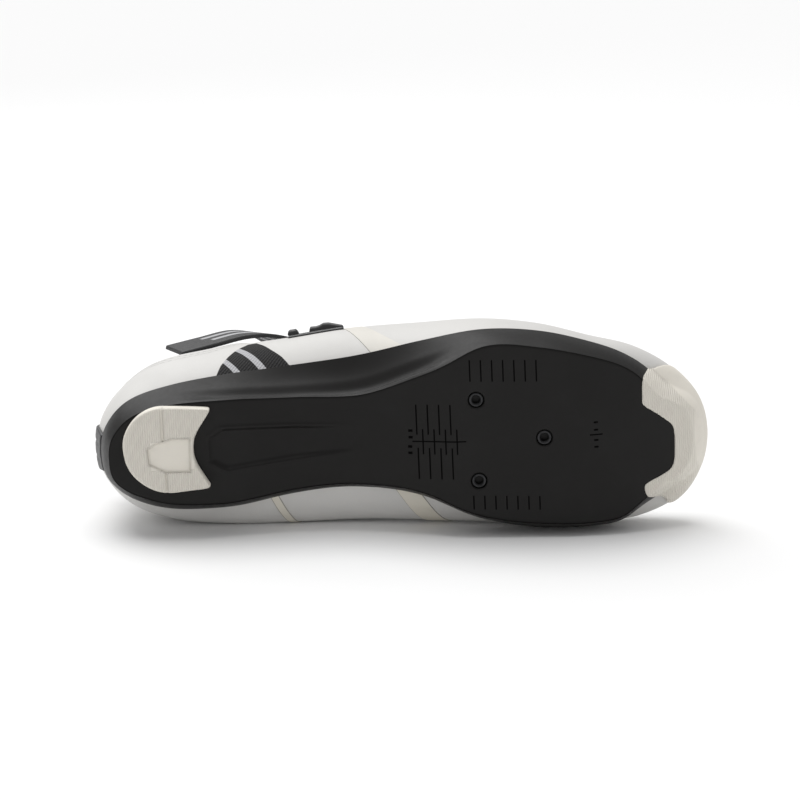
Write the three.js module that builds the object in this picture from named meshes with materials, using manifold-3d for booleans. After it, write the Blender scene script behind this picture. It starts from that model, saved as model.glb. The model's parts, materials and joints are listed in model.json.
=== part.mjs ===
// A right road cycling shoe, lying on its inner side as it does when it is put down.
// It is modelled standing: X runs from heel to toe, +Y is the inner side of the foot, Z is up
// from the floor. The finished group is then turned onto its inner side and settled there.
// Lengths are in millimetres.
import * as THREE from 'three';
import { mergeVertices } from 'three/addons/utils/BufferGeometryUtils.js';
import Module from 'manifold-3d';

const wasm = await Module();
wasm.setup();

// Driving sizes of the last
const LENGTH = 278;
const BALL_WIDTH = 97;
const INSTEP_HEIGHT = 96;

// Walls and clearances
const UPPER_WALL = 2.6;
const CLEARANCE = 0.3;
const RAND_WALL = 1.6;
const INSOLE_THICKNESS = 3.0;
const TONGUE_THICKNESS = 3.0;
const TONGUE_CLEARANCE = 0.8;
const INLAY_THICKNESS = 0.7;
const OVERLAY_CLEARANCE = 0.35;
const HEEL_TAB_THICKNESS = 1.0;

// Walking pads
const HEEL_PAD_RECESS = 1.0;
const BUMPER_THICKNESS = 2.2;
const BUMPER_STANDS_PROUD = 0.5;

// Cleat fastening: three threaded inserts
const BOLT_SPACING_ACROSS = 37.0;
const BOLT_SPACING_ALONG = 29.8;
const BOLT_REAR_X = 173.5;
const NUT_OUTER_RADIUS = 3.3;
const NUT_BORE_RADIUS = 2.1;
const NUT_HEIGHT = 3.2;
const NUT_SET_BACK = 0.6;

// Closure
const STRAP_THICKNESS = 1.8;
const BUCKLE_BASE_HEIGHT = 1.1;
const BUCKLE_HEIGHT = 4.3;

// How finely the forms are faceted
const STEPS_PER_ROW = 3;
const LOWER_STEPS = 5;
const UPPER_STEPS = 7;

// Sections of the last, once round the shoe from the middle of the heel along the outer side to
// the toe and back along the inner side. x, y, z: the point where the section is widest.
// tuck: how far its lower edge lies inside that point; sole: height of that lower edge.
// crown: fullness of the arch over the top; rim: where the shell ends, from 1 at the widest
// point to 2 on the ridge. x is a share of the length, y and tuck of the ball width, and
// z and sole of the instep height.
const LAST = [
  { x: 0.003, y: 0.031, z: 0.417, tuck: 0.103, sole: 0.110, crown: 0.55, rim: 1.52 },
  { x: 0.013, y: -0.113, z: 0.427, tuck: 0.103, sole: 0.110, crown: 0.55, rim: 1.49 },
  { x: 0.054, y: -0.240, z: 0.448, tuck: 0.103, sole: 0.110, crown: 0.55, rim: 1.36 },
  { x: 0.122, y: -0.336, z: 0.479, tuck: 0.163, sole: 0.115, crown: 0.55, rim: 1.15 },
  { x: 0.216, y: -0.376, z: 0.520, tuck: 0.180, sole: 0.141, crown: 0.55, rim: 1.19 },
  { x: 0.324, y: -0.413, z: 0.540, tuck: 0.229, sole: 0.198, crown: 0.50, rim: 1.72 },
  { x: 0.432, y: -0.451, z: 0.540, tuck: 0.223, sole: 0.200, crown: 0.50, rim: 1.79 },
  { x: 0.540, y: -0.472, z: 0.500, tuck: 0.119, sole: 0.122, crown: 0.50, rim: 1.88 },
  { x: 0.640, y: -0.497, z: 0.396, tuck: 0.080, sole: 0.060, crown: 0.52, rim: 2 },
  { x: 0.730, y: -0.477, z: 0.323, tuck: 0.077, sole: 0.053, crown: 0.54, rim: 2 },
  { x: 0.813, y: -0.412, z: 0.313, tuck: 0.076, sole: 0.074, crown: 0.56, rim: 2 },
  { x: 0.885, y: -0.351, z: 0.323, tuck: 0.130, sole: 0.135, crown: 0.56, rim: 2 },
  { x: 0.946, y: -0.244, z: 0.333, tuck: 0.149, sole: 0.200, crown: 0.56, rim: 2 },
  { x: 0.987, y: -0.103, z: 0.339, tuck: 0.098, sole: 0.242, crown: 0.56, rim: 2 },
  { x: 1.001, y: 0.062, z: 0.344, tuck: 0.098, sole: 0.254, crown: 0.56, rim: 2 },
  { x: 0.990, y: 0.232, z: 0.333, tuck: 0.115, sole: 0.242, crown: 0.56, rim: 2 },
  { x: 0.954, y: 0.376, z: 0.313, tuck: 0.165, sole: 0.200, crown: 0.56, rim: 2 },
  { x: 0.885, y: 0.456, z: 0.285, tuck: 0.170, sole: 0.135, crown: 0.56, rim: 2 },
  { x: 0.813, y: 0.463, z: 0.258, tuck: 0.085, sole: 0.074, crown: 0.56, rim: 2 },
  { x: 0.730, y: 0.462, z: 0.258, tuck: 0.095, sole: 0.053, crown: 0.54, rim: 2 },
  { x: 0.640, y: 0.453, z: 0.285, tuck: 0.220, sole: 0.060, crown: 0.52, rim: 2 },
  { x: 0.540, y: 0.435, z: 0.300, tuck: 0.280, sole: 0.111, crown: 0.50, rim: 1.88 },
  { x: 0.432, y: 0.422, z: 0.320, tuck: 0.261, sole: 0.156, crown: 0.50, rim: 1.79 },
  { x: 0.324, y: 0.421, z: 0.312, tuck: 0.264, sole: 0.151, crown: 0.50, rim: 1.72 },
  { x: 0.216, y: 0.412, z: 0.300, tuck: 0.254, sole: 0.122, crown: 0.55, rim: 1.27 },
  { x: 0.122, y: 0.378, z: 0.312, tuck: 0.197, sole: 0.110, crown: 0.55, rim: 1.22 },
  { x: 0.054, y: 0.302, z: 0.345, tuck: 0.165, sole: 0.110, crown: 0.55, rim: 1.37 },
  { x: 0.013, y: 0.173, z: 0.396, tuck: 0.122, sole: 0.110, crown: 0.55, rim: 1.49 },
];

// The ridge over the top of the last, a row for each pair of sections, in the same shares.
const RIDGE = [
  { x: 0.043, y: 0.021, z: 1.042 },
  { x: 0.050, y: 0.021, z: 1.052 },
  { x: 0.072, y: 0.021, z: 1.073 },
  { x: 0.137, y: 0.010, z: 1.094 },
  { x: 0.227, y: 0.000, z: 1.083 },
  { x: 0.331, y: 0.010, z: 1.000 },
  { x: 0.424, y: 0.021, z: 0.865 },
  { x: 0.525, y: 0.031, z: 0.740 },
  { x: 0.619, y: 0.031, z: 0.646 },
  { x: 0.705, y: 0.031, z: 0.578 },
  { x: 0.781, y: 0.041, z: 0.526 },
  { x: 0.842, y: 0.052, z: 0.484 },
  { x: 0.885, y: 0.057, z: 0.456 },
  { x: 0.910, y: 0.062, z: 0.441 },
  { x: 0.921, y: 0.062, z: 0.435 },
];

// Edge of the sole, a row for each section of the last. lip: height of the top of the rand, a
// share of the instep height. flare: how far the edge of the underside lies inside the lip, and
// scoop: how deep the side between them is hollowed, shares of the ball width.
const SOLE_EDGE = [
  { lip: 0.214, flare: 0.048, scoop: -0.006 },
  { lip: 0.214, flare: 0.048, scoop: -0.006 },
  { lip: 0.219, flare: 0.052, scoop: -0.006 },
  { lip: 0.234, flare: 0.060, scoop: 0.000 },
  { lip: 0.271, flare: 0.082, scoop: 0.015 },
  { lip: 0.323, flare: 0.116, scoop: 0.032 },
  { lip: 0.318, flare: 0.150, scoop: 0.034 },
  { lip: 0.250, flare: 0.121, scoop: 0.012 },
  { lip: 0.195, flare: 0.046, scoop: -0.006 },
  { lip: 0.174, flare: 0.047, scoop: -0.006 },
  { lip: 0.185, flare: 0.041, scoop: -0.006 },
  { lip: 0.210, flare: 0.039, scoop: -0.006 },
  { lip: 0.240, flare: 0.057, scoop: -0.006 },
  { lip: 0.286, flare: 0.062, scoop: -0.006 },
  { lip: 0.297, flare: 0.062, scoop: -0.006 },
  { lip: 0.286, flare: 0.062, scoop: -0.006 },
  { lip: 0.232, flare: 0.057, scoop: -0.006 },
  { lip: 0.192, flare: 0.041, scoop: -0.006 },
  { lip: 0.195, flare: 0.055, scoop: -0.006 },
  { lip: 0.180, flare: 0.059, scoop: -0.006 },
  { lip: 0.178, flare: 0.046, scoop: -0.006 },
  { lip: 0.165, flare: 0.036, scoop: -0.003 },
  { lip: 0.180, flare: 0.023, scoop: -0.002 },
  { lip: 0.182, flare: 0.026, scoop: -0.002 },
  { lip: 0.180, flare: 0.041, scoop: -0.004 },
  { lip: 0.176, flare: 0.046, scoop: -0.006 },
  { lip: 0.190, flare: 0.052, scoop: -0.006 },
  { lip: 0.214, flare: 0.048, scoop: -0.006 },
];

// Height of the underside along the shoe: heel seat, arch, flat under the ball, toe spring.
const UNDERSIDE = [
  { x: 0.000, z: 0.052 },
  { x: 0.205, z: 0.052 },
  { x: 0.270, z: 0.088 },
  { x: 0.342, z: 0.122 },
  { x: 0.400, z: 0.124 },
  { x: 0.468, z: 0.093 },
  { x: 0.540, z: 0.042 },
  { x: 0.600, z: 0.000 },
  { x: 0.755, z: 0.000 },
  { x: 0.810, z: 0.020 },
  { x: 0.863, z: 0.058 },
  { x: 0.917, z: 0.115 },
  { x: 0.964, z: 0.174 },
  { x: 1.000, z: 0.212 },
];

const ROWS = LAST.length;
const HALF = ROWS / 2;
const OUTER = -1;
const INNER = 1;

// Place in the round of sections of section k on one side of the shoe.
function around(side, k) {
  return side === OUTER ? k : ROWS - k;
}

function hermite(a, b, slopeA, slopeB, t) {
  const t2 = t * t;
  const t3 = t2 * t;
  return (2 * t3 - 3 * t2 + 1) * a + (t3 - 2 * t2 + t) * slopeA
    + (3 * t2 - 2 * t3) * b + (t3 - t2) * slopeB;
}

// Smooth curve through one column of a table whose rows run once round the shoe.
function roundColumn(table, name, j) {
  const row = Math.floor(j);
  const at = (n) => table[((n % ROWS) + ROWS) % ROWS][name];
  const slopeA = (at(row + 1) - at(row - 1)) / 2;
  const slopeB = (at(row + 2) - at(row)) / 2;
  return hermite(at(row), at(row + 1), slopeA, slopeB, j - row);
}

// The same for the ridge, whose rows are met again on the way back.
function ridgeColumn(name, k) {
  const at = (n) => RIDGE[n < 0 ? -n : n > HALF ? 2 * HALF - n : n][name];
  const row = Math.min(Math.floor(k), HALF - 1);
  const slopeA = (at(row + 1) - at(row - 1)) / 2;
  const slopeB = (at(row + 2) - at(row)) / 2;
  return hermite(at(row), at(row + 1), slopeA, slopeB, k - row);
}

// Height of the underside at x. Its slope is nought wherever the table is level or turns.
function undersideAt(x) {
  const share = THREE.MathUtils.clamp(x / LENGTH, 0, 1);
  const last = UNDERSIDE.length - 1;
  let row = 0;
  while (row < last - 1 && UNDERSIDE[row + 1].x < share) row += 1;
  const rise = (n) => {
    const a = UNDERSIDE[n];
    const b = UNDERSIDE[n + 1];
    return (b.z - a.z) / (b.x - a.x);
  };
  const slope = (n) => {
    if (n === 0 || n === last) return 0;
    const before = rise(n - 1);
    const after = rise(n);
    return before * after <= 0 ? 0 : 2 * before * after / (before + after);
  };
  const a = UNDERSIDE[row];
  const b = UNDERSIDE[row + 1];
  const span = b.x - a.x;
  return INSTEP_HEIGHT * hermite(a.z, b.z, slope(row) * span, slope(row + 1) * span, (share - a.x) / span);
}

// Widest point of the section at j, and the outward direction there, in plan.
function widest(j) {
  return new THREE.Vector3(
    LENGTH * roundColumn(LAST, 'x', j),
    BALL_WIDTH * roundColumn(LAST, 'y', j),
    INSTEP_HEIGHT * roundColumn(LAST, 'z', j),
  );
}

function outward(j) {
  const step = 0.2;
  const along = widest(j + step).sub(widest(j - step)).setZ(0).normalize();
  return new THREE.Vector3(along.y, -along.x, 0);
}

function ridgePoint(j) {
  const k = j <= HALF ? j : ROWS - j;
  return new THREE.Vector3(
    LENGTH * ridgeColumn('x', k),
    BALL_WIDTH * ridgeColumn('y', k),
    INSTEP_HEIGHT * ridgeColumn('z', k),
  );
}

// A point of the last. v runs from 0 at the lower edge through 1 at the widest point to 2 on the
// ridge: two curves that meet upright at the widest point.
const LOWER_RUN = 0.48;
const LOWER_LIFT = 0.3;
const LOWER_STAND = 0.45;
function lastPoint(j, v) {
  const wide = widest(j);
  if (v <= 1) {
    const tuck = BALL_WIDTH * roundColumn(LAST, 'tuck', j);
    const low = wide.clone().addScaledVector(outward(j), -tuck);
    low.z = INSTEP_HEIGHT * roundColumn(LAST, 'sole', j);
    const height = wide.z - low.z;
    const c1 = low.clone().lerp(wide, LOWER_RUN).setZ(low.z + LOWER_LIFT * height);
    const c2 = wide.clone().setZ(wide.z - LOWER_STAND * height);
    return new THREE.CubicBezierCurve3(low, c1, c2, wide).getPoint(v);
  }
  const ridge = ridgePoint(j);
  const crown = roundColumn(LAST, 'crown', j);
  const c1 = wide.clone().setZ(wide.z + crown * (ridge.z - wide.z));
  const c2 = ridge.clone().lerp(wide, crown).setZ(ridge.z);
  return new THREE.CubicBezierCurve3(wide, c1, c2, ridge).getPoint(v - 1);
}

// Outward normal of the last, by differences. On the ridge both sides share one normal.
function lastNormal(j, v) {
  const step = 0.02;
  const top = 2 - step;
  const normalAt = (place, height) => {
    const along = lastPoint((place + step) % ROWS, height)
      .sub(lastPoint((place - step + ROWS) % ROWS, height));
    const up = lastPoint(place, height + step).sub(lastPoint(place, Math.max(height - step, 0)));
    return along.cross(up).normalize();
  };
  if (v <= top) return normalAt(j, v);
  const own = normalAt(j, top);
  const other = normalAt((ROWS - j) % ROWS, top);
  const shared = own.clone().add(other).normalize();
  return own.lerp(shared, (v - top) / step).normalize();
}

// A point at a distance outside (or, negative, inside) the last.
function skinPoint(j, v, distance) {
  const place = ((j % ROWS) + ROWS) % ROWS;
  return lastPoint(place, v).addScaledVector(lastNormal(place, v), distance);
}

function rimAt(j) {
  const rim = roundColumn(LAST, 'rim', j);
  return rim > 1.985 ? 2 : rim;
}

// Where a skin at a distance from the last crosses a height on its way up to the widest point.
function crossingAt(j, z, distance) {
  let low = 0;
  let high = 1;
  for (let n = 0; n < 20; n += 1) {
    const middle = (low + high) / 2;
    if (skinPoint(j, middle, distance).z < z) low = middle;
    else high = middle;
  }
  return (low + high) / 2;
}

function lipAt(j) {
  return crossingAt(j, INSTEP_HEIGHT * roundColumn(SOLE_EDGE, 'lip', j), 0);
}

// Triangles collected as faces, then joined into one closed geometry facing outwards.
class Skin {
  constructor() {
    this.points = [];
  }

  triangle(a, b, c) {
    this.points.push(a, b, c);
  }

  // rows of equal length, each a line of points; the face looks along (next point) x (next row)
  sheet(rows, reversed = false) {
    for (let i = 0; i + 1 < rows.length; i += 1) {
      for (let n = 0; n + 1 < rows[i].length; n += 1) {
        const corners = [rows[i][n], rows[i][n + 1], rows[i + 1][n + 1], rows[i + 1][n]];
        if (reversed) corners.reverse();
        this.triangle(corners[0], corners[1], corners[2]);
        this.triangle(corners[0], corners[2], corners[3]);
      }
    }
  }

  geometry() {
    const positions = new Float32Array(this.points.flatMap((p) => [p.x, p.y, p.z]));
    const raw = new THREE.BufferGeometry();
    raw.setAttribute('position', new THREE.BufferAttribute(positions, 3));
    return outwardClosed(mergeVertices(raw, 1e-3));
  }
}

// Drops triangles that lost a corner when points were merged, and turns the rest outwards.
function outwardClosed(geometry) {
  const index = Array.from(geometry.index.array);
  const position = geometry.getAttribute('position');
  const corner = (n) => new THREE.Vector3().fromBufferAttribute(position, n);
  const kept = [];
  let volume = 0;
  for (let n = 0; n < index.length; n += 3) {
    const [a, b, c] = index.slice(n, n + 3);
    if (a === b || b === c || a === c) continue;
    kept.push([a, b, c]);
    volume += corner(a).dot(corner(b).cross(corner(c)));
  }
  const faces = volume < 0 ? kept.map(([a, b, c]) => [a, c, b]) : kept;
  geometry.setIndex(faces.flat());
  return geometry;
}

function toSolid(geometry) {
  const bare = new THREE.BufferGeometry();
  bare.setAttribute('position', geometry.getAttribute('position').clone());
  if (geometry.index) bare.setIndex(geometry.index.clone());
  const merged = outwardClosed(mergeVertices(bare, 1e-3));
  return new wasm.Manifold(new wasm.Mesh({
    numProp: 3,
    vertProperties: new Float32Array(merged.getAttribute('position').array),
    triVerts: new Uint32Array(merged.index.array),
  }));
}

function fromSolid(solid) {
  const mesh = solid.getMesh();
  const geometry = new THREE.BufferGeometry();
  const places = new Float32Array(mesh.vertProperties);
  geometry.setAttribute('position', new THREE.BufferAttribute(places, mesh.numProp));
  geometry.setIndex(new THREE.BufferAttribute(new Uint32Array(mesh.triVerts), 1));
  return geometry;
}

const COLUMNS = Array.from({ length: ROWS * STEPS_PER_ROW + 1 }, (_, n) => n / STEPS_PER_ROW);
const HALF_COLUMNS = COLUMNS.filter((j) => j <= HALF);

// Points straight across the shoe between the two sides of a closed outline.
function across(outline, steps, height) {
  const line = (k) => {
    const outer = outline(around(OUTER, k));
    const inner = outline(around(INNER, k));
    return Array.from({ length: steps + 1 }, (_, n) => {
      const point = outer.clone().lerp(inner, n / steps);
      return height ? point.setZ(height(point, n / steps)) : point;
    });
  };
  return HALF_COLUMNS.map(line);
}

// Rows up the last at one distance from it, from the lower edge to the rim or to the ridge.
function lastRows(distance, topAt) {
  const steps = LOWER_STEPS + UPPER_STEPS;
  const heightAt = (n, top) => (n <= LOWER_STEPS
    ? n / LOWER_STEPS
    : 1 + (top - 1) * (n - LOWER_STEPS) / UPPER_STEPS);
  return Array.from({ length: steps + 1 }, (_, n) => (
    COLUMNS.map((j) => skinPoint(j, heightAt(n, topAt(j % ROWS)), distance))));
}

// The whole last as a closed form, grown by a distance.
function lastForm(distance) {
  const skin = new Skin();
  const rows = lastRows(distance, () => 2);
  skin.sheet(rows);
  skin.sheet(across((j) => skinPoint(j, 0, distance), 4), false);
  return skin.geometry();
}

// Shell of the upper: outer and inner skins of the last, joined along the rim and below.
function upperShell() {
  const skin = new Skin();
  const outside = lastRows(0, rimAt);
  const inside = lastRows(-UPPER_WALL, rimAt);
  skin.sheet(outside);
  skin.sheet(inside, true);
  skin.sheet([inside[0], outside[0]]);
  const top = outside.length - 1;
  for (let n = 0; n + 1 < COLUMNS.length; n += 1) {
    const open = rimAt(COLUMNS[n] % ROWS) < 2 || rimAt(COLUMNS[n + 1] % ROWS) < 2;
    if (open) {
      skin.sheet([
        [outside[top][n], outside[top][n + 1]],
        [inside[top][n], inside[top][n + 1]],
      ]);
    }
  }
  return skin.geometry();
}

// Side of the sole: t runs from 0 at the edge of the underside to 1 at the outer edge of the lip.
function solePoint(j, t, grow = 0) {
  const place = j % ROWS;
  const lip = skinPoint(place, lipAt(place), CLEARANCE + RAND_WALL);
  const out = outward(place);
  const edge = lip.clone().addScaledVector(out, -BALL_WIDTH * roundColumn(SOLE_EDGE, 'flare', place));
  edge.z = undersideAt(edge.x);
  const scoop = BALL_WIDTH * roundColumn(SOLE_EDGE, 'scoop', place);
  return edge.lerp(lip, t).addScaledVector(out, grow - scoop * Math.sin(Math.PI * t));
}

const WALL_STEPS = [0, 0.25, 0.5, 0.75, 1];

// The sole as a filled form, grown or shrunk all round and underneath, its top raised.
function soleForm(grow, raise) {
  const skin = new Skin();
  const rows = WALL_STEPS.map((t) => COLUMNS.map((j) => {
    const point = solePoint(j, t, grow);
    return point.setZ(Math.max(point.z, undersideAt(point.x) - grow));
  }));
  const top = (j) => {
    const point = solePoint(j, 1, grow);
    return point.setZ(point.z + raise);
  };
  const bottom = (j) => {
    const point = solePoint(j, 0, grow);
    return point.setZ(undersideAt(point.x) - grow);
  };
  rows[0] = COLUMNS.map(bottom);
  if (raise !== 0) rows.push(COLUMNS.map(top));
  skin.sheet(rows);
  skin.sheet(across(bottom, 4, (point) => undersideAt(point.x) - grow), false);
  skin.sheet(across(top, 3), true);
  return skin.geometry();
}

// Floor of the sole, inside the rand.
function floorEdge(j) {
  return skinPoint(j, 0, CLEARANCE);
}

function soleShell() {
  const skin = new Skin();
  const wall = WALL_STEPS.map((t) => COLUMNS.map((j) => solePoint(j, t)));
  const inside = [1, 0.8, 0.6, 0.4, 0.2, 0].map((share) => (
    COLUMNS.map((j) => skinPoint(j, share * lipAt(j % ROWS), CLEARANCE))));
  skin.sheet([...wall, ...inside]);
  skin.sheet(across((j) => solePoint(j, 0), 4, (point) => undersideAt(point.x)), false);
  skin.sheet(across(floorEdge, 3), true);
  return skin.geometry();
}

// A flat outline drawn out upwards from one height to another.
function prism(shape, from, to) {
  const geometry = new THREE.ExtrudeGeometry(shape, { depth: to - from, bevelEnabled: false, curveSegments: 10 });
  geometry.translate(0, 0, from);
  return geometry;
}

function outlineOf(points) {
  return new THREE.Shape(points.map(([x, y]) => new THREE.Vector2(x, y)));
}

// Outline of the toe bumper in plan: two wings joined round the toe. The gap widens it.
function bumperOutline(gap) {
  const front = 1.1 * LENGTH;
  const side = BALL_WIDTH;
  return outlineOf([
    [front, -side],
    [0.915 * LENGTH - gap, -side],
    [0.893 * LENGTH - gap, -0.240 * BALL_WIDTH],
    [0.893 * LENGTH - gap, -0.125 * BALL_WIDTH + gap],
    [0.930 * LENGTH - gap, -0.030 * BALL_WIDTH + gap],
    [0.943 * LENGTH - gap, 0.020 * BALL_WIDTH],
    [0.943 * LENGTH - gap, 0.160 * BALL_WIDTH],
    [0.930 * LENGTH - gap, 0.205 * BALL_WIDTH - gap],
    [0.895 * LENGTH - gap, 0.250 * BALL_WIDTH - gap],
    [0.890 * LENGTH - gap, 0.330 * BALL_WIDTH],
    [0.915 * LENGTH - gap, 0.400 * BALL_WIDTH],
    [0.915 * LENGTH - gap, side],
    [front, side],
  ]);
}

const TALL = INSTEP_HEIGHT;
const FRONT_BOLT = { x: BOLT_REAR_X + BOLT_SPACING_ALONG, y: 0 };
const BOLTS = {
  rear_outer: { x: BOLT_REAR_X, y: OUTER * BOLT_SPACING_ACROSS / 2 },
  rear_inner: { x: BOLT_REAR_X, y: INNER * BOLT_SPACING_ACROSS / 2 },
  front: FRONT_BOLT,
};

// Long shallow recess in the underside of the shank.
function shankOutline() {
  return outlineOf([
    [0.200 * LENGTH, -0.020 * BALL_WIDTH],
    [0.222 * LENGTH, -0.092 * BALL_WIDTH],
    [0.412 * LENGTH, -0.080 * BALL_WIDTH],
    [0.412 * LENGTH, 0.030 * BALL_WIDTH],
    [0.228 * LENGTH, 0.105 * BALL_WIDTH],
    [0.200 * LENGTH, 0.060 * BALL_WIDTH],
  ]);
}
const SHANK_RECESS = 1.2;

function makeOutsole() {
  let sole = toSolid(soleShell());
  const bumperSeat = toSolid(prism(bumperOutline(CLEARANCE), -TALL, TALL))
    .subtract(toSolid(soleForm(-BUMPER_THICKNESS - 2 * CLEARANCE, TALL)));
  const shankSeat = toSolid(prism(shankOutline(), -TALL, TALL / 4))
    .subtract(toSolid(soleForm(-SHANK_RECESS, 0)));
  sole = sole.subtract(bumperSeat).subtract(shankSeat);
  const boreRadius = NUT_OUTER_RADIUS + CLEARANCE;
  const boreDepth = NUT_SET_BACK + NUT_HEIGHT + CLEARANCE;
  for (const bolt of Object.values(BOLTS)) {
    const bore = new THREE.CylinderGeometry(boreRadius, boreRadius, 2 * boreDepth, 20);
    bore.rotateX(Math.PI / 2).translate(bolt.x, bolt.y, 0);
    sole = sole.subtract(toSolid(bore));
  }
  return fromSolid(sole);
}

function makeToeBumper() {
  const outer = toSolid(soleForm(BUMPER_STANDS_PROUD, 0));
  const inner = toSolid(soleForm(-BUMPER_THICKNESS, TALL));
  const region = toSolid(prism(bumperOutline(0), -TALL, TALL));
  return fromSolid(outer.subtract(inner).intersect(region).subtract(toSolid(lastForm(CLEARANCE))));
}

// Heel pad: D-shaped in plan, with a hollowed front edge and a recess in its middle.
function heelPadOutline(inset) {
  const middle = { x: 0.122 * LENGTH, y: -0.021 * BALL_WIDTH };
  const radiusX = 0.070 * LENGTH - inset;
  const radiusY = 0.208 * BALL_WIDTH - inset;
  const shape = new THREE.Shape();
  const tip = 0.196 * LENGTH - inset;
  shape.moveTo(tip, middle.y - 0.9 * radiusY);
  shape.quadraticCurveTo(0.148 * LENGTH - inset, middle.y, tip, middle.y + 0.9 * radiusY);
  shape.lineTo(middle.x, middle.y + radiusY);
  shape.absellipse(middle.x, middle.y, radiusX, radiusY, Math.PI / 2, 3 * Math.PI / 2, false, 0);
  shape.closePath();
  return shape;
}

function makeHeelPad() {
  const bevel = 0.8;
  const top = undersideAt(0) - CLEARANCE;
  const depth = top - bevel;
  const geometry = new THREE.ExtrudeGeometry(heelPadOutline(bevel), {
    depth, bevelEnabled: true, bevelThickness: bevel, bevelSize: bevel, bevelSegments: 1, curveSegments: 10,
  });
  geometry.translate(0, 0, bevel);
  const trimmed = toSolid(geometry).subtract(toSolid(prism(heelPadOutline(-BALL_WIDTH / 10), top, TALL)));
  const hollowMiddle = { x: 0.138 * LENGTH, y: -0.021 * BALL_WIDTH };
  const hollow = new THREE.Shape();
  hollow.absellipse(hollowMiddle.x, hollowMiddle.y, 0.046 * LENGTH, 0.11 * BALL_WIDTH, 0, 2 * Math.PI, false, 0);
  return fromSolid(trimmed.subtract(toSolid(prism(hollow, -1, HEEL_PAD_RECESS))));
}

// Insole: follows the inside of the upper down to the floor of the sole.
function makeInsole() {
  const skin = new Skin();
  const inset = -(UPPER_WALL + 2.5 * CLEARANCE);
  const bottom = (j) => skinPoint(j, 0, inset).setZ(floorEdge(j).z + CLEARANCE);
  const side = (j) => skinPoint(j, 0, inset);
  const top = (j) => {
    const height = floorEdge(j).z + CLEARANCE + INSOLE_THICKNESS;
    return skinPoint(j, crossingAt(j, height, inset), inset);
  };
  skin.sheet([bottom, side, top].map((edge) => COLUMNS.map(edge)));
  skin.sheet(across(bottom, 3), false);
  skin.sheet(across(top, 3), true);
  return skin.geometry();
}

// A closed sheet between two distances from a surface given on a grid of lines.
function thickSheet(lines, inner, outer) {
  const skin = new Skin();
  const low = lines.map((line) => line.map((place) => place(inner)));
  const high = lines.map((line) => line.map((place) => place(outer)));
  skin.sheet(high);
  skin.sheet(low, true);
  const last = lines[0].length - 1;
  skin.sheet([low[0], high[0]]);
  skin.sheet([high[high.length - 1], low[low.length - 1]]);
  skin.sheet(low.map((line, n) => [line[0], high[n][0]]));
  skin.sheet(low.map((line, n) => [high[n][last], line[last]]));
  return skin.geometry();
}

// Tongue: under the throat, from inside one edge of it over the ridge to inside the other.
const TONGUE = { from: 4.5, to: 7.9, edge: 1.52 };
function makeTongue() {
  const lines = [];
  const count = 9;
  const crossings = 10;
  for (let n = 0; n <= count; n += 1) {
    const k = THREE.MathUtils.lerp(TONGUE.from, TONGUE.to, n / count);
    const edge = TONGUE.edge + 0.25 * THREE.MathUtils.smoothstep(k, 6.8, TONGUE.to);
    const line = [];
    for (let m = 0; m <= crossings; m += 1) {
      const share = 2 * m / crossings - 1;
      const v = THREE.MathUtils.lerp(2, edge, Math.abs(share));
      const j = around(share < 0 ? OUTER : INNER, k);
      line.push((distance) => skinPoint(j, v, distance));
    }
    lines.push(line);
  }
  const outer = -(UPPER_WALL + TONGUE_CLEARANCE);
  return thickSheet(lines, outer - TONGUE_THICKNESS, outer);
}

// Rows of a table with more rows worked in evenly between them.
function finerRows(rows, times) {
  const finer = [];
  for (let n = 0; n < times * (rows.length - 1) + 1; n += 1) {
    const a = rows[Math.floor(n / times)];
    const b = rows[Math.min(Math.floor(n / times) + 1, rows.length - 1)];
    const share = (n % times) / times;
    const names = Object.keys(a);
    finer.push(Object.fromEntries(names.map((name) => [name, THREE.MathUtils.lerp(a[name], b[name], share)])));
  }
  return finer;
}

// A form that follows one side of the upper between two distances from it. Its rows give the
// height v and the sections from and to between which it lies; the margin widens it all round.
function patchForm(side, rows, inner, outer, margin, crossings = 4) {
  const lines = finerRows(rows, 2).map(({ v, from, to }, n, all) => (
    Array.from({ length: crossings + 1 }, (_, m) => {
      const k = THREE.MathUtils.lerp(from - margin, to + margin, m / crossings);
      const shift = n === 0 ? -margin : n === all.length - 1 ? margin : 0;
      return (distance) => skinPoint(around(side, k), v + shift, distance);
    })));
  return thickSheet(lines, inner, outer);
}

function makeInlay({ side, rows, crossings }) {
  return patchForm(side, rows, -INLAY_THICKNESS, 0, 0, crossings);
}

// The seat of an inlay, as the form to be cut out of the upper.
const INLAY_MARGIN = 0.016;
function inlaySeat({ side, rows, crossings }) {
  const floor = -INLAY_THICKNESS - CLEARANCE;
  return toSolid(patchForm(side, rows, floor, 2 * UPPER_WALL, INLAY_MARGIN, crossings));
}

const SIDE_MESH_PANEL = [
  { v: 0.60, from: 3.84, to: 5.04 },
  { v: 0.75, from: 4.00, to: 4.92 },
  { v: 0.90, from: 4.20, to: 4.74 },
  { v: 1.04, from: 4.40, to: 4.54 },
];
const OUTER_BAND = [
  { v: 0.52, from: 6.15, to: 6.62 },
  { v: 0.75, from: 6.00, to: 6.38 },
  { v: 1.00, from: 5.85, to: 6.15 },
  { v: 1.20, from: 5.76, to: 6.02 },
  { v: 1.45, from: 5.68, to: 5.92 },
];
const INNER_REAR_BAND = [
  { v: 0.36, from: 4.66, to: 4.80 },
  { v: 0.65, from: 4.80, to: 4.94 },
  { v: 1.00, from: 4.95, to: 5.08 },
  { v: 1.08, from: 4.98, to: 5.11 },
];
const INNER_FRONT_BAND = [
  { v: 0.42, from: 6.62, to: 6.98 },
  { v: 0.70, from: 6.82, to: 7.20 },
  { v: 1.00, from: 7.02, to: 7.42 },
  { v: 1.30, from: 7.15, to: 7.52 },
];

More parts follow.
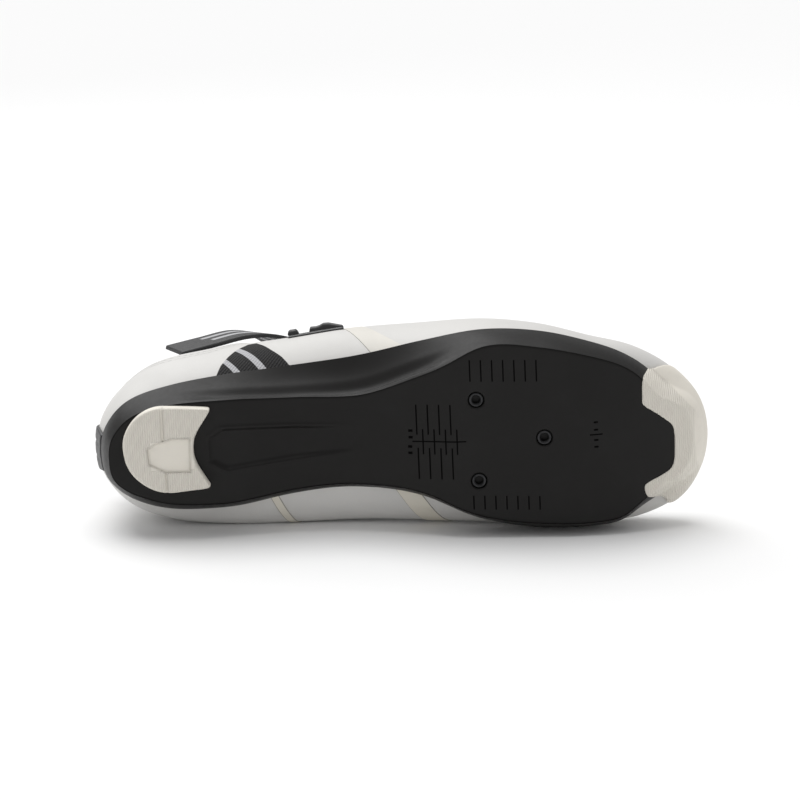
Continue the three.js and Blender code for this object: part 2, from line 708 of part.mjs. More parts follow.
const INLAYS = {
  side_mesh_panel: { side: OUTER, rows: SIDE_MESH_PANEL, crossings: 4, look: 'textile' },
  outer_band: { side: OUTER, rows: OUTER_BAND, crossings: 2, look: 'band' },
  inner_rear_band: { side: INNER, rows: INNER_REAR_BAND, crossings: 1, look: 'band' },
  inner_front_band: { side: INNER, rows: INNER_FRONT_BAND, crossings: 2, look: 'band' },
};

// Heel tab, wrapped round the back of the heel just above the rand.
function makeHeelTab() {
  const lines = [0.55, 0.75, 1.0, 1.18].map((v, n) => {
    const reach = [0.62, 0.70, 0.62, 0.42][n];
    return Array.from({ length: 7 }, (_, m) => {
      const j = THREE.MathUtils.lerp(-reach, reach, m / 6);
      return (distance) => skinPoint(j, v, distance);
    });
  });
  return thickSheet(lines, CLEARANCE, CLEARANCE + HEEL_TAB_THICKNESS);
}

// Instep strap. Over the inner side and the ridge it lies on the upper; past the outer edge of
// the throat it stands free beside the collar, and its end is cut off square. lift: distance from
// the upper, a share of the strap's thickness.
const STRAP_ON_UPPER = [
  { side: INNER, v: 1.20, lift: 0.17 },
  { side: INNER, v: 1.35, lift: 0.17 },
  { side: INNER, v: 1.55, lift: 0.22 },
  { side: INNER, v: 1.80, lift: 0.44 },
  { side: OUTER, v: 2.00, lift: 0.56 },
  { side: OUTER, v: 1.80, lift: 0.89 },
];
const STRAP_REAR = 4.78;
const STRAP_FRONT = 5.50;
const STRAP_FREE = [
  { topX: 0.290, topY: -0.250, topZ: 1.050, lowX: 0.352, lowY: -0.330, lowZ: 0.880 },
  { topX: 0.255, topY: -0.340, topZ: 1.020, lowX: 0.305, lowY: -0.392, lowZ: 0.800 },
  { topX: 0.216, topY: -0.370, topZ: 0.975, lowX: 0.258, lowY: -0.388, lowZ: 0.740 },
  { topX: 0.165, topY: -0.356, topZ: 0.893, lowX: 0.203, lowY: -0.365, lowZ: 0.680 },
  { topX: 0.112, topY: -0.338, topZ: 0.812, lowX: 0.145, lowY: -0.336, lowZ: 0.625 },
];
const STRAP_CROSSINGS = 4;

function strapEdges() {
  const size = new THREE.Vector3(LENGTH, BALL_WIDTH, INSTEP_HEIGHT);
  const onUpper = STRAP_ON_UPPER.map(({ side, v, lift }) => ({
    top: skinPoint(around(side, STRAP_REAR), v, lift * STRAP_THICKNESS),
    low: skinPoint(around(side, STRAP_FRONT), v, lift * STRAP_THICKNESS),
  }));
  const free = STRAP_FREE.map((row) => ({
    top: new THREE.Vector3(row.topX, row.topY, row.topZ).multiply(size),
    low: new THREE.Vector3(row.lowX, row.lowY, row.lowZ).multiply(size),
  }));
  const rows = [...onUpper, ...free];
  return {
    top: new THREE.CatmullRomCurve3(rows.map((row) => row.top), false, 'centripetal'),
    low: new THREE.CatmullRomCurve3(rows.map((row) => row.low), false, 'centripetal'),
    steps: 2 * (rows.length - 1),
  };
}

function makeStrap() {
  const { top, low, steps } = strapEdges();
  const middle = (t, share) => top.getPoint(t).lerp(low.getPoint(t), share);
  const normal = (t, share) => {
    const step = 0.01;
    const along = middle(Math.min(t + step, 1), share).sub(middle(Math.max(t - step, 0), share));
    return along.cross(low.getPoint(t).sub(top.getPoint(t))).normalize();
  };
  const lines = Array.from({ length: steps + 1 }, (_, n) => {
    const t = n / steps;
    return Array.from({ length: STRAP_CROSSINGS + 1 }, (__, m) => {
      const share = m / STRAP_CROSSINGS;
      return (distance) => middle(t, share).addScaledVector(normal(t, share), distance);
    });
  });
  return thickSheet(lines, 0, STRAP_THICKNESS);
}

// Threaded insert: a ring whose axis is the bolt's.
function makeCleatNut() {
  const low = NUT_SET_BACK;
  const high = NUT_SET_BACK + NUT_HEIGHT;
  const profile = [
    [NUT_BORE_RADIUS, low], [NUT_OUTER_RADIUS, low], [NUT_OUTER_RADIUS, high],
    [NUT_BORE_RADIUS, high], [NUT_BORE_RADIUS, low],
  ].map(([x, y]) => new THREE.Vector2(x, y));
  return new THREE.LatheGeometry(profile, 12).rotateX(Math.PI / 2);
}

function makeUpper() {
  const shell = toSolid(upperShell());
  return fromSolid(Object.values(INLAYS).reduce((left, inlay) => left.subtract(inlaySeat(inlay)), shell));
}

// Parts of the buckle follow the upper: each is raised above it by a profile along the shoe.
// k: place along the outer side; rise: from the upper to the top of the piece, a share of
// the buckle's height.
const BUCKLE_BASE = [4.98, 5.36, 5.84].map((k) => ({ k, rise: BUCKLE_BASE_HEIGHT / BUCKLE_HEIGHT }));
const BUCKLE_STOP = [
  { k: 4.98, rise: 0.60 },
  { k: 5.02, rise: 0.81 },
  { k: 5.11, rise: 0.81 },
  { k: 5.15, rise: 0.56 },
];
const BUCKLE_LEVER = [
  { k: 5.31, rise: 0.56 },
  { k: 5.34, rise: 0.79 },
  { k: 5.46, rise: 0.77 },
  { k: 5.54, rise: 1.00 },
  { k: 5.62, rise: 0.95 },
  { k: 5.84, rise: 0.44 },
];

function raisedForm(profile, from, to, base, edge) {
  const crossings = 5;
  const lines = profile.map(({ k, rise }) => (
    Array.from({ length: crossings + 1 }, (_, m) => {
      const v = THREE.MathUtils.lerp(from, to, m / crossings);
      const top = BUCKLE_HEIGHT * (m === 0 || m === crossings ? rise - edge : rise);
      return (share) => skinPoint(around(OUTER, k), v, THREE.MathUtils.lerp(base, top, share));
    })));
  return thickSheet(lines, 0, 1);
}

// Finishes of the pieces
const finish = {
  shell: { color: 0xf2f2f4, roughness: 0.5, metalness: 0 },
  sole: { color: 0x1f1e20, roughness: 0.45, metalness: 0 },
  pad: { color: 0xd7cfc4, roughness: 0.6, metalness: 0 },
  band: { color: 0xe0d8c8, roughness: 0.55, metalness: 0 },
  textile: { color: 0x18181a, roughness: 0.85, metalness: 0 },
  lining: { color: 0x2a2a2d, roughness: 0.9, metalness: 0 },
  fitting: { color: 0x121214, roughness: 0.35, metalness: 0 },
  steel: { color: 0x9a9a9c, roughness: 0.35, metalness: 1 },
};

const standing = new THREE.Group();
function place(name, geometry, look) {
  geometry.computeVertexNormals();
  const mesh = new THREE.Mesh(geometry, new THREE.MeshStandardMaterial(finish[look]));
  mesh.name = name;
  standing.add(mesh);
  return mesh;
}

place('upper', makeUpper(), 'shell');
place('outsole', makeOutsole(), 'sole');
place('toe_bumper', makeToeBumper(), 'pad');
place('heel_pad', makeHeelPad(), 'pad');
place('insole', makeInsole(), 'lining');
place('tongue', makeTongue(), 'shell');
place('heel_tab', makeHeelTab(), 'fitting');
for (const [name, inlay] of Object.entries(INLAYS)) place(name, makeInlay(inlay), inlay.look);
place('instep_strap', makeStrap(), 'textile');
place('buckle_base', raisedForm(BUCKLE_BASE, 1.02, 1.38, CLEARANCE, 0.10), 'fitting');
place('buckle_stop', raisedForm(BUCKLE_STOP, 1.05, 1.34, BUCKLE_BASE_HEIGHT + CLEARANCE, 0.14), 'fitting');
place('buckle_lever', raisedForm(BUCKLE_LEVER, 1.08, 1.30, BUCKLE_BASE_HEIGHT + CLEARANCE, 0.09), 'fitting');
for (const [name, bolt] of Object.entries(BOLTS)) {
  place(`cleat_nut_${name}`, makeCleatNut(), 'steel').position.set(bolt.x, bolt.y, 0);
}

// The shoe is put down on its inner side. It rests on three places: the sole's edge at the ball,
// the widest part of the heel and what stands out furthest high on the quarter.
const BALL_STARTS = 0.55 * LENGTH;
const QUARTER_STARTS = 0.5 * INSTEP_HEIGHT;

function cornersOf(group) {
  group.updateMatrixWorld(true);
  return group.children.flatMap((mesh) => {
    const position = mesh.geometry.getAttribute('position');
    return Array.from({ length: position.count }, (_, n) => (
      new THREE.Vector3().fromBufferAttribute(position, n).applyMatrix4(mesh.matrixWorld)));
  });
}

// Direction that points down, in the standing shoe's own axes, once it has come to rest.
function downWhenLying(corners) {
  const zones = [
    corners.filter((p) => p.x > BALL_STARTS),
    corners.filter((p) => p.x <= BALL_STARTS && p.z < QUARTER_STARTS),
    corners.filter((p) => p.x <= BALL_STARTS && p.z >= QUARTER_STARTS),
  ];
  const down = new THREE.Vector3(0, 1, 0);
  for (let n = 0; n < 60; n += 1) {
    const [ball, heel, quarter] = zones.map((zone) => (
      zone.reduce((best, p) => (p.dot(down) > best.dot(down) ? p : best))));
    const next = heel.clone().sub(ball).cross(quarter.clone().sub(ball)).normalize();
    if (next.y < 0) next.negate();
    if (next.distanceTo(down) < 1e-9) break;
    down.copy(next);
  }
  return down;
}

function layDown(group) {
  const corners = cornersOf(group);
  const up = downWhenLying(corners).negate();
  const along = new THREE.Vector3(1, 0, 0).addScaledVector(up, -up.x).normalize();
  const aside = up.clone().cross(along);
  const turn = new THREE.Matrix4().makeBasis(along, aside, up).transpose();
  const box = new THREE.Box3().setFromPoints(corners.map((p) => p.clone().applyMatrix4(turn)));
  const middle = box.getCenter(new THREE.Vector3());
  group.quaternion.setFromRotationMatrix(turn);
  group.position.set(-middle.x, -middle.y, -box.min.z);
  return group;
}

export default layDown(standing);
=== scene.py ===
"""Looks of a right road cycling shoe that lies on its inner side with its sole towards the camera.

The shapes are worked out standing, in millimetres: X from heel to toe, +Y to the inner side of the
foot, Z up from the ground. shoe_to_world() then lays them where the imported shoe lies.
"""

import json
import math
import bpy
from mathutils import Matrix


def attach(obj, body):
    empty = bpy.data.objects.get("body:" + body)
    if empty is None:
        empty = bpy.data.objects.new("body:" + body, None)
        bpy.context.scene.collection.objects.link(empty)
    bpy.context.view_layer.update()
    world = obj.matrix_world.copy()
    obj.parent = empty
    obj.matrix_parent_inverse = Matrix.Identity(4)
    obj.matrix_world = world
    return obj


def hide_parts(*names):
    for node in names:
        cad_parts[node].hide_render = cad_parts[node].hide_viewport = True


bl_info = {
    "name": "Cycling shoe looks",
    "version": (1, 0, 0),
    "blender": (4, 5, 0),
    "location": "3D View > Sidebar > Shoe",
    "description": "Surfaces and finishes of a road cycling shoe, built round its packed solids",
    "category": "Object",
}

import bmesh
import bpy
import numpy as np
from bpy.props import FloatProperty, FloatVectorProperty, PointerProperty
from mathutils import Matrix, Vector

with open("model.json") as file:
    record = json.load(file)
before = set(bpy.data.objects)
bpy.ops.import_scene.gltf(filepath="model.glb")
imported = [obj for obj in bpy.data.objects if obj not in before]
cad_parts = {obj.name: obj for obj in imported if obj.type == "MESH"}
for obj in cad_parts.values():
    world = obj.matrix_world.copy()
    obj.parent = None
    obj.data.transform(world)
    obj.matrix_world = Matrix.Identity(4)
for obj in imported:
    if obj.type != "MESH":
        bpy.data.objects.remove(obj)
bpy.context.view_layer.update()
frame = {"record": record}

# The last: sections once round the shoe from the middle of the heel along the outer side to the
# toe and back along the inner side. x, y, z: where the section is widest; tuck: how far its lower
# edge lies inside that; sole: height of that edge; crown: fullness of the top; rim: where the
# upper ends, from 1 at the widest point to 2 on the ridge; lip: top of the rand; flare: how far
# the underside's edge lies inside the lip; scoop: hollow of the side between them. x is a share
# of the length; y, tuck, flare and scoop of the ball width; z, sole and lip of the height.
LAST = {name: np.array(column) for name, column in {
    "x": [.003, .013, .054, .122, .216, .324, .432, .54, .64, .73, .813, .885, .946, .987,
          1.001, .99, .954, .885, .813, .73, .64, .54, .432, .324, .216, .122, .054, .013],
    "y": [.031, -.113, -.24, -.336, -.376, -.413, -.451, -.472, -.497, -.477, -.412, -.351, -.244,
          -.103, .062, .232, .376, .456, .463, .462, .453, .435, .422, .421, .412, .378, .302, .173],
    "z": [.417, .427, .448, .479, .52, .54, .54, .5, .396, .323, .313, .323, .333, .339,
          .344, .333, .313, .285, .258, .258, .285, .3, .32, .312, .3, .312, .345, .396],
    "tuck": [.103, .103, .103, .163, .18, .229, .223, .119, .08, .077, .076, .13, .149, .098,
             .098, .115, .165, .17, .085, .095, .22, .28, .261, .264, .254, .197, .165, .122],
    "sole": [.11, .11, .11, .115, .141, .198, .2, .122, .06, .053, .074, .135, .2, .242,
             .254, .242, .2, .135, .074, .053, .06, .111, .156, .151, .122, .11, .11, .11],
    "crown": [.55, .55, .55, .55, .55, .5, .5, .5, .52, .54, .56, .56, .56, .56,
              .56, .56, .56, .56, .56, .54, .52, .5, .5, .5, .55, .55, .55, .55],
    "rim": [1.52, 1.49, 1.36, 1.15, 1.19, 1.72, 1.79, 1.88, 2, 2, 2, 2, 2, 2,
            2, 2, 2, 2, 2, 2, 2, 1.88, 1.79, 1.72, 1.27, 1.22, 1.37, 1.49],
    "lip": [.214, .214, .219, .234, .271, .323, .318, .25, .195, .174, .185, .21, .24, .286,
            .297, .286, .232, .192, .195, .18, .178, .165, .18, .182, .18, .176, .19, .214],
    "flare": [.048, .048, .052, .06, .082, .116, .15, .121, .046, .047, .041, .039, .057, .062,
              .062, .062, .057, .041, .055, .059, .046, .036, .023, .026, .041, .046, .052, .048],
    "scoop": [-.006, -.006, -.006, 0, .015, .032, .034, .012, -.006, -.006, -.006, -.006, -.006,
              -.006, -.006, -.006, -.006, -.006, -.006, -.006, -.006, -.003, -.002, -.002, -.004,
              -.006, -.006, -.006],
}.items()}

# The ridge over the top of the last, for sections 0 to 14, in the same shares.
RIDGE = {name: np.array(column) for name, column in {
    "x": [.043, .05, .072, .137, .227, .331, .424, .525, .619, .705, .781, .842, .885, .91, .921],
    "y": [.021, .021, .021, .01, 0, .01, .021, .031, .031, .031, .041, .052, .057, .062, .062],
    "z": [1.042, 1.052, 1.073, 1.094, 1.083, 1., .865, .74, .646, .578, .526, .484, .456, .441, .435],
}.items()}

# Height of the underside along the shoe: heel seat, arch, flat under the ball, toe spring.
UNDERSIDE_X = np.array([0, .205, .27, .342, .4, .468, .54, .6, .755, .81, .863, .917, .964, 1])
UNDERSIDE_Z = np.array([.052, .052, .088, .122, .124, .093, .042, 0, 0, .02, .058, .115, .174, .212])

# Sections in the whole round and on one side, and the sides as signs of Y.
ROWS, HALF = 28, 14
OUTER, INNER = -1, 1

# Millimetres: wall of the upper, gap between pieces, thickness of the rand and of the strap.
WALL, GAP, RAND, STRAP = 2.6, 0.3, 1.6, 1.8

# Middles of the threaded inserts in plan.
BOLTS = ((173.5, -18.5), (173.5, 18.5), (203.3, 0.0))

# Above this height on a section the upper is closed over the ridge.
CLOSED = 1.985

# Metres: one millimetre, how near two points are one, and from the back of the heel to the middle
# of the heel pad's face.
MILLIMETRE, WELD, HEEL_FACE = 0.001, 2e-6, 0.020

# Edges sharper than this stay hard.
SHARP = math.radians(50)


class ShoeSizes(bpy.types.PropertyGroup):
    """Sizes of the shoe, and the pitches of its fine patterns."""
    length: FloatProperty(
        name="Length", description="Heel to toe", default=0.278, unit="LENGTH")
    ball_width: FloatProperty(
        name="Ball width", description="Widest part of the forefoot", default=0.097, unit="LENGTH")
    instep_height: FloatProperty(
        name="Height", description="Ground to the instep", default=0.096, unit="LENGTH")
    rib_pitch: FloatProperty(
        name="Rib pitch", description="From one rib of the pads to the next", default=0.001,
        unit="LENGTH")
    stitch_pitch: FloatProperty(
        name="Stitch pitch", description="From one stitch to the next", default=0.0026,
        unit="LENGTH")


class ShoeColours(bpy.types.PropertyGroup):
    """Colours of the shoe's materials."""
    upper: FloatVectorProperty(
        name="Upper", description="Smooth synthetic of the upper", subtype="COLOR", size=3,
        default=(0.66, 0.65, 0.63))
    sole: FloatVectorProperty(
        name="Sole", description="Moulded sole", subtype="COLOR", size=3,
        default=(0.0068, 0.0062, 0.0058))
    pad: FloatVectorProperty(
        name="Pads", description="Rubber of the walking pads", subtype="COLOR", size=3,
        default=(0.81, 0.77, 0.69))
    band: FloatVectorProperty(
        name="Bands", description="Bands on the quarters", subtype="COLOR", size=3,
        default=(0.76, 0.72, 0.63))
    dark: FloatVectorProperty(
        name="Black parts", description="Strap, mesh, buckle and tab", subtype="COLOR", size=3,
        default=(0.012, 0.012, 0.013))
    stripe: FloatVectorProperty(
        name="Stripes", description="Pale stripes on the strap and the mesh", subtype="COLOR",
        size=3, default=(0.50, 0.50, 0.52))


def size_of(name):
    """One of the shoe's sizes, in millimetres."""
    return 1000 * getattr(bpy.context.scene.shoe_sizes, name)


def colours():
    """The shoe's colours."""
    return bpy.context.scene.shoe_colours


def darker(colour, share):
    """The colour with a share of its light."""
    return tuple(share * c for c in colour)


def shoe_axes():
    """Origin and axes of the standing shoe in the world, from the two faces that the record gives."""
    mounts = {m["name"]: m for m in frame["record"]["mounts"]}
    heel = np.array(mounts["heel_pad_face"]["pos_m"])
    cleat = np.array(mounts["cleat_face"]["pos_m"])
    ahead = (cleat - heel) / np.linalg.norm(cleat - heel)
    up = -np.array(mounts["heel_pad_face"]["axis"])
    up -= ahead * (up @ ahead)
    up /= np.linalg.norm(up)
    inner = np.cross(up, ahead)
    return heel - HEEL_FACE * ahead, np.array([ahead, inner, up])


ORIGIN, AXES = shoe_axes()


def shoe_to_world(points):
    """World place in metres: origin + x * ahead + y * inner + z * up, a thousandth of each."""
    return ORIGIN + np.asarray(points) / 1000 @ AXES


def world_to_shoe(points):
    """The way back: the offset from the origin measured along each axis, in millimetres."""
    return (np.asarray(points) - ORIGIN) @ AXES.T * 1000


def glide(t):
    """3 t squared - 2 t cubed of t held between 0 and 1."""
    t = np.clip(t, 0, 1)
    return t * t * (3 - 2 * t)


def mix(a, b, t):
    """a at t = 0, b at t = 1, straight between and beyond them."""
    return a + (b - a) * t


def unit(vectors):
    """Each vector divided by its length."""
    return vectors / np.maximum(np.linalg.norm(vectors, axis=-1, keepdims=True), 1e-12)


def hermite(a, b, slope_a, slope_b, t):
    """Cubic in t from a to b that leaves and arrives with the two slopes."""
    t2, t3 = t * t, t * t * t
    return ((2 * t3 - 3 * t2 + 1) * a + (t3 - 2 * t2 + t) * slope_a
            + (3 * t2 - 2 * t3) * b + (t3 - t2) * slope_b)


def last_column(name, j):
    """Column of the last at section j: cubic through its rows, slope half of next minus before."""
    j = np.mod(j, ROWS)
    row = np.floor(j).astype(int)
    before, a, b, after = (LAST[name][(row + n) % ROWS] for n in (-1, 0, 1, 2))
    return hermite(a, b, (b - before) / 2, (after - a) / 2, j - row)


def ridge_column(name, k):
    """The same for the ridge, whose rows are met again on the way back."""
    row = np.minimum(np.floor(k).astype(int), HALF - 1)
    fold = [HALF - np.abs(HALF - np.abs(row + n)) for n in (-1, 0, 1, 2)]
    before, a, b, after = (RIDGE[name][n] for n in fold)
    return hermite(a, b, (b - before) / 2, (after - a) / 2, k - row)


def curve_through(rows, t):
    """Point at share t along a smooth curve through the rows, evenly shared between them."""
    rows = np.asarray(rows, float)
    last = len(rows) - 1
    place = np.clip(np.asarray(t, float), 0, 1) * last
    row = np.minimum(np.floor(place).astype(int), last - 1)
    a, b = rows[row], rows[row + 1]
    before, after = rows[np.maximum(row - 1, 0)], rows[np.minimum(row + 2, last)]
    share = (place - row).reshape(place.shape + (1,) * (rows.ndim - 1))
    return hermite(a, b, (b - before) / 2, (after - a) / 2, share)


def underside_at(x):
    """Height of the underside at x: cubic between rows, slope the harmonic mean of both rises."""
    share = np.clip(np.asarray(x) / size_of("length"), 0, 1)
    rise = np.diff(UNDERSIDE_Z) / np.diff(UNDERSIDE_X)
    both = rise[:-1] * rise[1:]
    slope = np.zeros(len(UNDERSIDE_X))
    slope[1:-1] = np.where(both > 0, 2 * both / np.where(both > 0, rise[:-1] + rise[1:], 1), 0)
    row = np.clip(np.searchsorted(UNDERSIDE_X, share, side="right") - 1, 0, len(rise) - 1)
    span = UNDERSIDE_X[row + 1] - UNDERSIDE_X[row]
    t = (share - UNDERSIDE_X[row]) / span
    height = hermite(
        UNDERSIDE_Z[row], UNDERSIDE_Z[row + 1], slope[row] * span, slope[row + 1] * span, t)
    return size_of("instep_height") * height


def around(side, k):
    """Place in the round of sections of section k on one side of the shoe."""
    return k if side == OUTER else ROWS - np.asarray(k)


def scaled(x, y, z):
    """Points in millimetres from shares of the length, the ball width and the height."""
    parts = zip(("length", "ball_width", "instep_height"), (x, y, z))
    return np.stack([size_of(name) * share for name, share in parts], -1)


def widest(j):
    """The widest point of section j."""
    return scaled(*(last_column(name, j) for name in "xyz"))


def outward(j):
    """Outward direction in plan: at a right angle to the line of the widest points."""
    along = widest(j + 0.2) - widest(j - 0.2)
    return unit(np.stack([along[..., 1], -along[..., 0], 0 * along[..., 0]], -1))


def bezier(a, b, c, d, t):
    """Cubic from a to d drawn towards b and c: powers of 1 - t and t, weighed 1, 3, 3, 1."""
    t = t[..., None]
    s = 1 - t
    return s * s * s * a + 3 * s * s * t * b + 3 * s * t * t * c + t * t * t * d


def with_height(points, z):
    """The points in plan, at another height."""
    return np.concatenate([points[..., :2], z[..., None]], -1)


def last_point(j, v):
    """Point of the last. Two cubic curves meet upright at the widest point: v from 0 at the lower
    edge to 1 there, and from there to 2 on the ridge."""
    j, v = np.broadcast_arrays(np.mod(j, ROWS), np.asarray(v, float))
    wide = widest(j)
    low = wide - outward(j) * (size_of("ball_width") * last_column("tuck", j))[..., None]
    low = with_height(low, size_of("instep_height") * last_column("sole", j))
    rise = wide[..., 2] - low[..., 2]
    c1 = with_height(mix(low, wide, 0.48), low[..., 2] + 0.3 * rise)
    c2 = with_height(wide, wide[..., 2] - 0.45 * rise)
    lower = bezier(low, c1, c2, wide, np.clip(v, 0, 1))
    k = np.where(j <= HALF, j, ROWS - j)
    ridge = scaled(*(ridge_column(name, k) for name in "xyz"))
    crown = last_column("crown", j)
    c1 = with_height(wide, wide[..., 2] + crown * (ridge[..., 2] - wide[..., 2]))
    c2 = with_height(mix(ridge, wide, crown[..., None]), ridge[..., 2])
    upper = bezier(wide, c1, c2, ridge, np.clip(v - 1, 0, 1))
    return np.where((v <= 1)[..., None], lower, upper)


def last_normal(j, v):
    """Outward normal by differences. On the ridge both sides share one normal."""
    j, v = np.broadcast_arrays(np.mod(j, ROWS), np.asarray(v, float))
    step = 0.02
    top = 2 - step

    def normal_at(place, height):
        along = last_point(place + step, height) - last_point(place - step, height)
        up = last_point(place, height + step) - last_point(place, np.maximum(height - step, 0))
        return unit(np.cross(along, up))

    own = normal_at(j, np.minimum(v, top))
    other = normal_at(ROWS - j, np.full(v.shape, top))
    return unit(mix(own, unit(own + other), np.clip((v - top) / step, 0, 1)[..., None]))


def skin(j, v, distance):
    """Point of the last moved along its normal by a distance."""
    return last_point(j, v) + last_normal(j, v) * np.asarray(distance, float)[..., None]


def rim_at(j):
    """Height where the upper ends: the last's rim column, and the ridge where it is closed."""
    rim = last_column("rim", j)
    return np.where(rim > CLOSED, 2, rim)


def lip_at(j):
    """Where the last crosses the height of the rand, found by halving."""
    height = size_of("instep_height") * last_column("lip", j)
    low, high = np.zeros(np.shape(j)), np.ones(np.shape(j))
    for _ in range(22):
        middle = (low + high) / 2
        below = last_point(j, middle)[..., 2] < height
        low, high = np.where(below, middle, low), np.where(below, high, middle)
    return (low + high) / 2


def whole_round(count, last=HALF):
    """Places once round the shoe: count of them out to section `last`, then the same back."""
    half = np.linspace(0, last, count)
    return np.concatenate([half, ROWS - half[-2:0:-1]])


def across(ring, count):
    """A whole round as two rows from heel to toe: its outer side and the inner side facing it."""
    other = np.concatenate([[0], np.arange(len(ring) - 1, count - 1, -1), [count - 1]])
    return ring[:count], ring[other]


def lines_between(a, b, share):
    """Straight lines from each point of row a to its fellow in row b, at the shares."""
    return mix(a[:, None], b[:, None], share[:, None])


def add_object(name, data):
    """A new object in the scene."""
    thing = bpy.data.objects.new(name, data)
    bpy.context.scene.collection.objects.link(thing)
    return thing


class Shell:
    """Grids of points in shoe millimetres, gathered into one closed mesh."""

    def __init__(self):
        self.points, self.quads, self.looks, self.marks = [], [], [], {}
        self.count = 0

    def grid(self, points, **marks):
        """Adds a grid of points, with marks for the finish to read, and returns their numbers."""
        flat = points.reshape(-1, 3)
        ids = self.count + np.arange(len(flat)).reshape(points.shape[:-1])
        for name, values in marks.items():
            kept = self.marks.setdefault(name, [])
            kept.append((self.count, np.broadcast_to(values, points.shape[:-1]).ravel()))
        self.points.append(flat)
        self.count += len(flat)
        return ids

    def cover(self, ids, look=0, wrap=False):
        """Fills a grid of numbers with quads; wrap joins its last column to its first."""
        if wrap:
            ids = np.concatenate([ids, ids[:, :1]], 1)
        corners = [ids[:-1, :-1], ids[:-1, 1:], ids[1:, 1:], ids[1:, :-1]]
        quads = np.stack(corners, -1).reshape(-1, 4)
        self.quads.append(quads)
        self.looks.append(np.full(len(quads), look))

    def join(self, ring, first, second, look):
        """Quads between chosen columns of a grid of two rows and their neighbours."""
        quads = np.stack([ring[0][first], ring[0][second], ring[1][second], ring[1][first]], -1)
        self.quads.append(quads)
        self.looks.append(np.full(len(quads), look))

    def fill(self, ids, points, flip=False):
        """Fills the inside of a ring of numbers with rows of points that run across it."""
        left, right = across(ids, len(points))
        sheet = np.concatenate([left[:, None], self.grid(points), right[:, None]], 1)
        self.cover(sheet[:, ::-1] if flip else sheet)

    def piece(self, name, materials):
        """The object: doubles merged, faces turned outwards by the sign of its volume."""
        mesh = bpy.data.meshes.new(name)
        points = shoe_to_world(np.concatenate(self.points))
        quads = np.concatenate(self.quads)
        mesh.vertices.add(len(points))
        mesh.vertices.foreach_set("co", points.astype(np.float32).ravel())
        mesh.loops.add(quads.size)
        mesh.loops.foreach_set("vertex_index", quads.astype(np.int32).ravel())
        mesh.polygons.add(len(quads))
        mesh.polygons.foreach_set("loop_start", np.arange(0, quads.size, 4, dtype=np.int32))
        mesh.polygons.foreach_set("material_index", np.concatenate(self.looks).astype(np.int32))
        for mark, parts in self.marks.items():
            values = np.zeros(len(points), np.float32)
            for start, part in parts:
                values[start:start + len(part)] = part
            mesh.attributes.new(mark, "FLOAT", "POINT").data.foreach_set("value", values)
        mesh.update(calc_edges=True)
        shape = bmesh.new()
        shape.from_mesh(mesh)
        bmesh.ops.remove_doubles(shape, verts=shape.verts, dist=WELD)
        bmesh.ops.dissolve_degenerate(shape, edges=shape.edges, dist=WELD / 4)
        if shape.calc_volume(signed=True) < 0:
            bmesh.ops.reverse_faces(shape, faces=shape.faces)
        shape.to_mesh(mesh)
        shape.free()
        for material in materials:
            mesh.materials.append(material)
        return add_object(name, mesh)


def settle(piece, slot, *nodes):
    """Shades the piece, writes its shoe place for the finishes and lets it ride on the shoe."""
    mesh = piece.data
    mesh.shade_smooth()
    mesh.set_sharp_from_angle(angle=SHARP)
    places = np.empty(3 * len(mesh.vertices), np.float32)
    mesh.vertices.foreach_get("co", places)
    places = world_to_shoe(places.reshape(-1, 3)).astype(np.float32)
    kept = mesh.attributes.get("shoe_place")
    layer = kept or mesh.attributes.new("shoe_place", "FLOAT_VECTOR", "POINT")
    layer.data.foreach_set("vector", places.ravel())
    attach(piece, "root")
    if nodes:
        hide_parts(*nodes)
    return piece


def apply_modifiers(piece):
    """Leaves the piece with the mesh that its modifiers make."""
    bpy.context.view_layer.update()
    evaluated = piece.evaluated_get(bpy.context.evaluated_depsgraph_get())
    mesh = bpy.data.meshes.new_from_object(evaluated)
    piece.modifiers.clear()
    piece.data = mesh
    return piece


def cut(piece, operation, *tools):
    """Cuts the piece by a boolean with each of the other closed pieces, which are removed."""
    for tool in tools:
        step = piece.modifiers.new("cut", "BOOLEAN")
        step.operation, step.solver, step.object = operation, "EXACT", tool
    apply_modifiers(piece)
    for tool in tools:
        bpy.data.objects.remove(tool)


def fine_remesh(piece, size):
    """One even closed skin over the piece, its cells `size` millimetres wide."""
    remesh = piece.modifiers.new("fine", "REMESH")
    remesh.mode, remesh.voxel_size = "VOXEL", size * MILLIMETRE
    apply_modifiers(piece)


def edged(count, near):
    """Shares from 0 to 1: count of them evenly spaced, and four more within near of each end,
    spaced as the rise of a cosine."""
    ends = near * (1 - np.cos(np.linspace(0, np.pi / 2, 5)))
    middle = np.linspace(near, 1 - near, count)
    return np.concatenate([ends[:-1], middle, 1 - ends[:-1][::-1]])


def round_off(share, radius):
    """Quarter circle: 0 at both ends of the share, 1 further inside than the radius."""
    inside = np.clip(np.minimum(share, 1 - share) / radius, 0, 1)
    return np.sqrt(np.maximum(1 - (1 - inside) ** 2, 0))


def pillow(name, place, along, over, low, high, radius, material):
    """A closed plate: place(u, v, d) at d = low underneath, and on top at d = high, which falls
    to low in a quarter circle at all four edges. along and over are the shares u and v."""
    u, v = np.meshgrid(along, over, indexing="ij")
    top = high(u, v) if callable(high) else high
    edge = round_off(u, radius[0]) * round_off(v, radius[1])
    shell = Shell()
    under = shell.grid(place(u, v, low + 0 * u), u=u, v=v)
    above = shell.grid(place(u, v, low + (top - low) * edge), u=u, v=v)
    shell.cover(above)
    shell.cover(under[:, ::-1])
    return shell.piece(name, [material])


